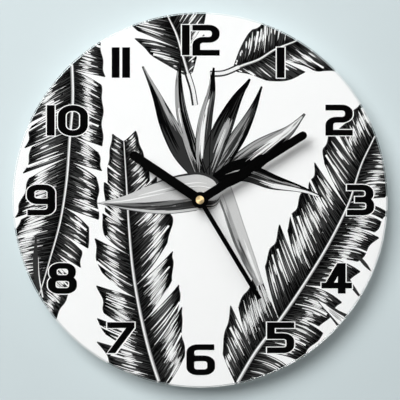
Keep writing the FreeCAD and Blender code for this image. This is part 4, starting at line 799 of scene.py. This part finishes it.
grain = grain_group()
dress("white film", grain, "backing_film", colour=(0.80, 0.80, 0.79, 1), roughness=0.55, grain_scale=2200.0,
      variation=0.08, dust=0.05, bump=0.12, bump_depth=0.03)
dress("black rubber", grain, "rubber_gasket", "wall_spacer_left", "wall_spacer_right", colour=grey(0.018),
      roughness=0.8, grain_scale=1800.0, variation=0.5, dust=0.06, bump=0.35, bump_depth=0.05)

# ---------------------------------------------------------------------------------------------
# The fixings: a turned brass bush, washer and nut clamp the movement to the glass, and a bent
# zinc plated steel plate with an eye hangs the clock on its screw.


def turned_group():
    """Shader group: metal turned about the clock's own axis, with fine rings and a slow tarnish."""
    tree, given, result, place = open_finish(
        "turned metal", {"Colour": (1, 1, 1, 1), "Tarnish": (0.3, 0.2, 0.1, 1), "Roughness": 0.3,
                         "Ring Scale": 4000.0})
    depth = add(tree, "ShaderNodeSeparateXYZ", {0: place}).outputs["Y"]
    section = add(tree, "ShaderNodeCombineXYZ", {"X": from_arbor(tree, place), "Y": depth}).outputs[0]
    rings = noise(tree, section, scale=given["Ring Scale"], detail=2.0)
    cloud = noise(tree, place, scale=320.0, detail=4.0)
    aged = add(tree, "ShaderNodeMapRange", {"Value": cloud, "From Min": 0.42, "From Max": 0.8, "To Max": 0.5})
    tint = mixed(tree, aged.outputs[0], given["Colour"], given["Tarnish"])
    rough = maths(tree, "MULTIPLY_ADD", rings, 0.25, given["Roughness"])
    return close_finish(tree, result, tint, maths(tree, "SUBTRACT", rough, 0.12), rings)


turned = turned_group()
brass = dress("turned brass", turned, "threaded_bush", "brass_washer", "hex_nut",
              colour=(0.83, 0.58, 0.25, 1), tarnish=(0.42, 0.24, 0.08, 1), roughness=0.28, ring_scale=5200.0,
              bump=0.3, bump_depth=0.01, metallic=1.0)
dress("zinc plated steel", grain, "hanging_bracket", colour=(0.66, 0.67, 0.68, 1), roughness=0.36,
      grain_scale=700.0, variation=0.35, stretch=(1, 1, 0.12), bump=0.12, metallic=1.0)

# ---------------------------------------------------------------------------------------------
# The movement's case: two black mouldings in spark-eroded grain, a body that holds the works and
# the battery, and a snap-on rear cover.

dress("black case plastic", grain, "front_case", "rear_cover", colour=grey(0.012), roughness=0.52,
      grain_scale=2600.0, variation=0.45, dust=0.05, bump=0.3, bump_depth=0.04)

# ---------------------------------------------------------------------------------------------
# The works inside the case: natural acetal wheels on steel arbors, a ferrite rotor in a stator of
# punched silicon steel, a coil of enamelled copper on its bobbin, and the circuit that drives it.

dress("natural acetal", grain, "centre_wheel", "minute_pipe", "hour_wheel", "third_wheel",
      "intermediate_wheel", "minute_work_wheel", "seconds_wheel", "rotor_pinion", "train_bridge",
      "setting_pinion", colour=(0.82, 0.80, 0.72, 1), roughness=0.42, grain_scale=900.0, variation=0.08,
      bump=0.08, shader_values={"Subsurface Weight": 0.15})
dress("spring steel", grain, "seconds_arbor", "clutch_spring", colour=(0.56, 0.57, 0.58, 1), roughness=0.3,
      grain_scale=2500.0, variation=0.25, stretch=(1, 0.08, 1), metallic=1.0)
dress("ferrite", grain, "rotor_magnet", colour=(0.045, 0.043, 0.042, 1), roughness=0.6, grain_scale=3200.0,
      variation=0.6, bump=0.25)
dress("silicon steel", grain, "stator_plate", "coil_core", colour=(0.36, 0.37, 0.40, 1), roughness=0.4,
      grain_scale=1400.0, variation=0.3, stretch=(0.1, 1, 1), metallic=1.0)
dress("bobbin nylon", grain, "coil_bobbin", colour=(0.05, 0.10, 0.20, 1), roughness=0.45, grain_scale=1500.0,
      variation=0.2, bump=0.12)


def wound_group():
    """Shader group: enamelled wire wound turn beside turn along one axis, its colour darkened in the grooves
    between turns as painted shading.
    """
    tree, given, result, place = open_finish(
        "wound wire", {"Colour": (0.6, 0.2, 0.07, 1), "Roughness": 0.3, "Turns": 9000.0})
    along = add(tree, "ShaderNodeSeparateXYZ", {0: place}).outputs["X"]
    wave = maths(tree, "SINE", maths(tree, "MULTIPLY", along, given["Turns"]))
    height = maths(tree, "MULTIPLY_ADD", wave, 0.5, 0.5)
    # painted shading: the wire's colour gets darker towards the grooves between its turns
    painted_groove_shade = maths(tree, "MULTIPLY_ADD", height, 0.6, 0.4)
    rough = maths(tree, "MULTIPLY_ADD", height, -0.12, given["Roughness"])
    return close_finish(tree, result, shaded(tree, given["Colour"], painted_groove_shade), rough, height)


dress("enamelled copper", wound_group(), "coil_winding", colour=(0.62, 0.19, 0.06, 1), bump=0.6,
      bump_depth=0.05, metallic=1.0)
dress("circuit board", grain, "circuit_board", colour=(0.05, 0.16, 0.06, 1), roughness=0.4,
      grain_scale=1200.0, variation=0.35, stretch=(1, 1, 0.2), bump=0.15)
dress("black epoxy", grain, "clock_chip", colour=grey(0.015), roughness=0.3, grain_scale=500.0, variation=0.3,
      bump=0.2)
dress("crystal can", grain, "quartz_crystal", colour=(0.70, 0.70, 0.68, 1), roughness=0.25, grain_scale=900.0,
      variation=0.15, stretch=(1, 1, 0.1), bump=0.08, metallic=1.0)
dress("nickel strip", grain, "positive_contact", "negative_contact", colour=(0.72, 0.70, 0.64, 1),
      roughness=0.24, grain_scale=1600.0, variation=0.2, stretch=(0.1, 1, 1), bump=0.08, metallic=1.0)

# ---------------------------------------------------------------------------------------------
# The battery: one round cell in a nickel plated can, with a printed plastic sleeve around it.


def sleeve_group():
    """Shader group: a shrunk sleeve in two plain colours, parted by a thin band, along the cell."""
    tree, given, result, place = open_finish(
        "cell sleeve", {"Body Colour": (0.02, 0.02, 0.022, 1), "End Colour": (0.55, 0.33, 0.12, 1),
                        "Band Colour": (0.75, 0.75, 0.72, 1), "Parting": 0.0, "Band Width": 0.0012,
                        "Roughness": 0.28})
    along = add(tree, "ShaderNodeSeparateXYZ", {0: place}).outputs["X"]
    past = maths(tree, "SUBTRACT", along, given["Parting"])
    two = mixed(tree, maths(tree, "GREATER_THAN", past, 0.0), given["Body Colour"], given["End Colour"])
    band = maths(tree, "LESS_THAN", maths(tree, "ABSOLUTE", past), given["Band Width"])
    ripple = noise(tree, place, scale=260.0, detail=3.0)
    rough = maths(tree, "MULTIPLY_ADD", ripple, 0.15, given["Roughness"])
    return close_finish(tree, result, mixed(tree, band, two, given["Band Colour"]), rough, ripple)


BODY_SHARE = 0.72               # how much of the sleeve's length has the body's colour
sleeve_low, sleeve_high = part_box("battery_sleeve")
sleeve_parting = sleeve_low[0] + BODY_SHARE * (sleeve_high[0] - sleeve_low[0])
dress("cell sleeve", sleeve_group(), "battery_sleeve", parting=sleeve_parting, bump_depth=0.05,
      shader_values={"Coat Weight": 0.3})
dress("cell steel", grain, "battery_can", colour=(0.74, 0.73, 0.70, 1), roughness=0.22, grain_scale=1100.0,
      variation=0.15, stretch=(0.1, 1, 1), bump=0.08, metallic=1.0)

# ---------------------------------------------------------------------------------------------
# The setting knob: a grey moulding that is turned by hand from behind. It is pressed onto its
# pinion and sets the minute and hour hands.

dress("knob plastic", grain, "setting_knob", colour=(0.55, 0.55, 0.53, 1), roughness=0.45, grain_scale=1900.0,
      variation=0.12, bump=0.15)

# ---------------------------------------------------------------------------------------------
# The hands: three blades pressed from thin aluminium and stove enamelled black, on brass collets,
# under a turned brass cap on the second hand's tip.

dress("black hand enamel", grain, "hour_hand", "minute_hand", "second_hand", colour=grey(0.0006),
      roughness=0.28, grain_scale=2400.0, variation=0.3, bump=0.05, bump_depth=0.01,
      shader_values={"Specular IOR Level": 0.05})
finish(brass, "hour_hand_collet", "minute_hand_collet")
cap_brass = dress("polished brass cap", turned, "centre_cap", colour=(0.95, 0.72, 0.38, 1),
                  tarnish=(0.86, 0.60, 0.28, 1), roughness=0.38, ring_scale=3200.0, bump=0.12,
                  bump_depth=0.008, metallic=1.0, shader_values={"Anisotropic": 0.5})
tangent = add(cap_brass.node_tree, "ShaderNodeTangent", direction_type="RADIAL", axis="Y")
cap_brass.node_tree.links.new(tangent.outputs[0],
                              cap_brass.node_tree.nodes["Principled BSDF"].inputs["Tangent"])

# ---------------------------------------------------------------------------------------------
# The room: a pale wall that the clock hangs on, a pale floor far below, soft light from the upper
# left, a weak light for the clock's back, and a camera square in front of the dial.

WALL_GAP = 0.0005               # the wall stands this far behind the clock


def plain_sheet(name, corners, material):
    """One flat sheet of the room."""
    mesh = bpy.data.meshes.new(name)
    mesh.from_pydata(corners, [], [(0, 1, 2, 3)])
    mesh.materials.append(material)
    sheet = bpy.data.objects.new(name, mesh)
    bpy.context.scene.collection.objects.link(sheet)
    return sheet


def wall_paint(name, colour, one_sided):
    """Matt paint with a slow mottle. One-sided paint isn't there for who looks from behind it."""
    material, tree, shader = bare_material(name)
    mottle = noise(tree, add(tree, "ShaderNodeTexCoord").outputs["Object"], scale=9.0, detail=5.0)
    darker, paler = [[min(1.0, share * c) for c in colour] + [1.0] for share in (0.96, 1.03)]
    tree.links.new(mixed(tree, mottle, darker, paler), shader.inputs["Base Color"])
    shader.inputs["Roughness"].default_value = 0.9
    shader.inputs["Specular IOR Level"].default_value = 0.1
    if one_sided:
        let_through(tree, add(tree, "ShaderNodeNewGeometry").outputs["Backfacing"], shader)
    return material


WALL_HALF, FLOOR_DROP = 3.0, -0.62
wall = plain_sheet("wall", [(-WALL_HALF, WALL_GAP, FLOOR_DROP), (WALL_HALF, WALL_GAP, FLOOR_DROP),
                            (WALL_HALF, WALL_GAP, WALL_HALF), (-WALL_HALF, WALL_GAP, WALL_HALF)],
                   wall_paint("wall paint", (0.56, 0.635, 0.65), True))
wall.visible_shadow = False     # the rear light reaches the clock's back through it
floor = plain_sheet("floor", [(-WALL_HALF, -WALL_HALF, FLOOR_DROP), (WALL_HALF, -WALL_HALF, FLOOR_DROP),
                              (WALL_HALF, WALL_HALF, FLOOR_DROP), (-WALL_HALF, WALL_HALF, FLOOR_DROP)],
                    wall_paint("floor paint", (0.74, 0.75, 0.76), False))
floor.visible_diffuse = False       # its glow stays out of the glass and off the wall
floor.visible_glossy = False
floor.visible_transmission = False


def studio_light(name, size, power, place, aim=(0, 0, 0)):
    """A soft square light that looks at a point."""
    lamp = bpy.data.lights.new(name, "AREA")
    lamp.size = size
    lamp.energy = power
    holder = bpy.data.objects.new(name, lamp)
    bpy.context.scene.collection.objects.link(holder)
    place, aim = np.array(place, float), np.array(aim, float)
    away = place - aim
    holder.location = place
    tilt, swing = math.acos(away[2] / np.linalg.norm(away)), math.atan2(away[1], away[0])
    holder.rotation_euler = (tilt, 0, swing + math.pi / 2)


studio_light("key light", size=1.5, power=66.0, place=(-0.95, -1.85, 1.05))
studio_light("fill light", size=1.6, power=7.0, place=(1.5, -1.7, 0.5))
studio_light("rear light", size=1.6, power=30.0, place=(-0.8, 1.7, 0.9))
studio_light("floor light", size=2.4, power=34.0, place=(0, -2.9, 1.6), aim=(0, -2.9, FLOOR_DROP))

world = bpy.data.worlds.new("room")
world.use_nodes = True
tree = world.node_tree
seen = add(tree, "ShaderNodeLightPath").outputs["Is Camera Ray"]
air = mixed(tree, seen, (0.02, 0.021, 0.022, 1), (0.80, 0.85, 0.87, 1))
tree.links.new(air, tree.nodes["Background"].inputs["Color"])
tree.nodes["Background"].inputs["Strength"].default_value = 1.0
bpy.context.scene.world = world

CAMERA_BACK = 1.80
camera = bpy.data.cameras.new("camera")
camera.lens = 200.0
camera.sensor_width = 36.0
camera.clip_start = 0.01
viewer = bpy.data.objects.new("camera", camera)
bpy.context.scene.collection.objects.link(viewer)
viewer.location = (0.0, -CAMERA_BACK, 0.0)
viewer.rotation_euler = (math.pi / 2, 0, 0)
bpy.context.scene.camera = viewer
bpy.context.scene.view_settings.view_transform = "Standard"
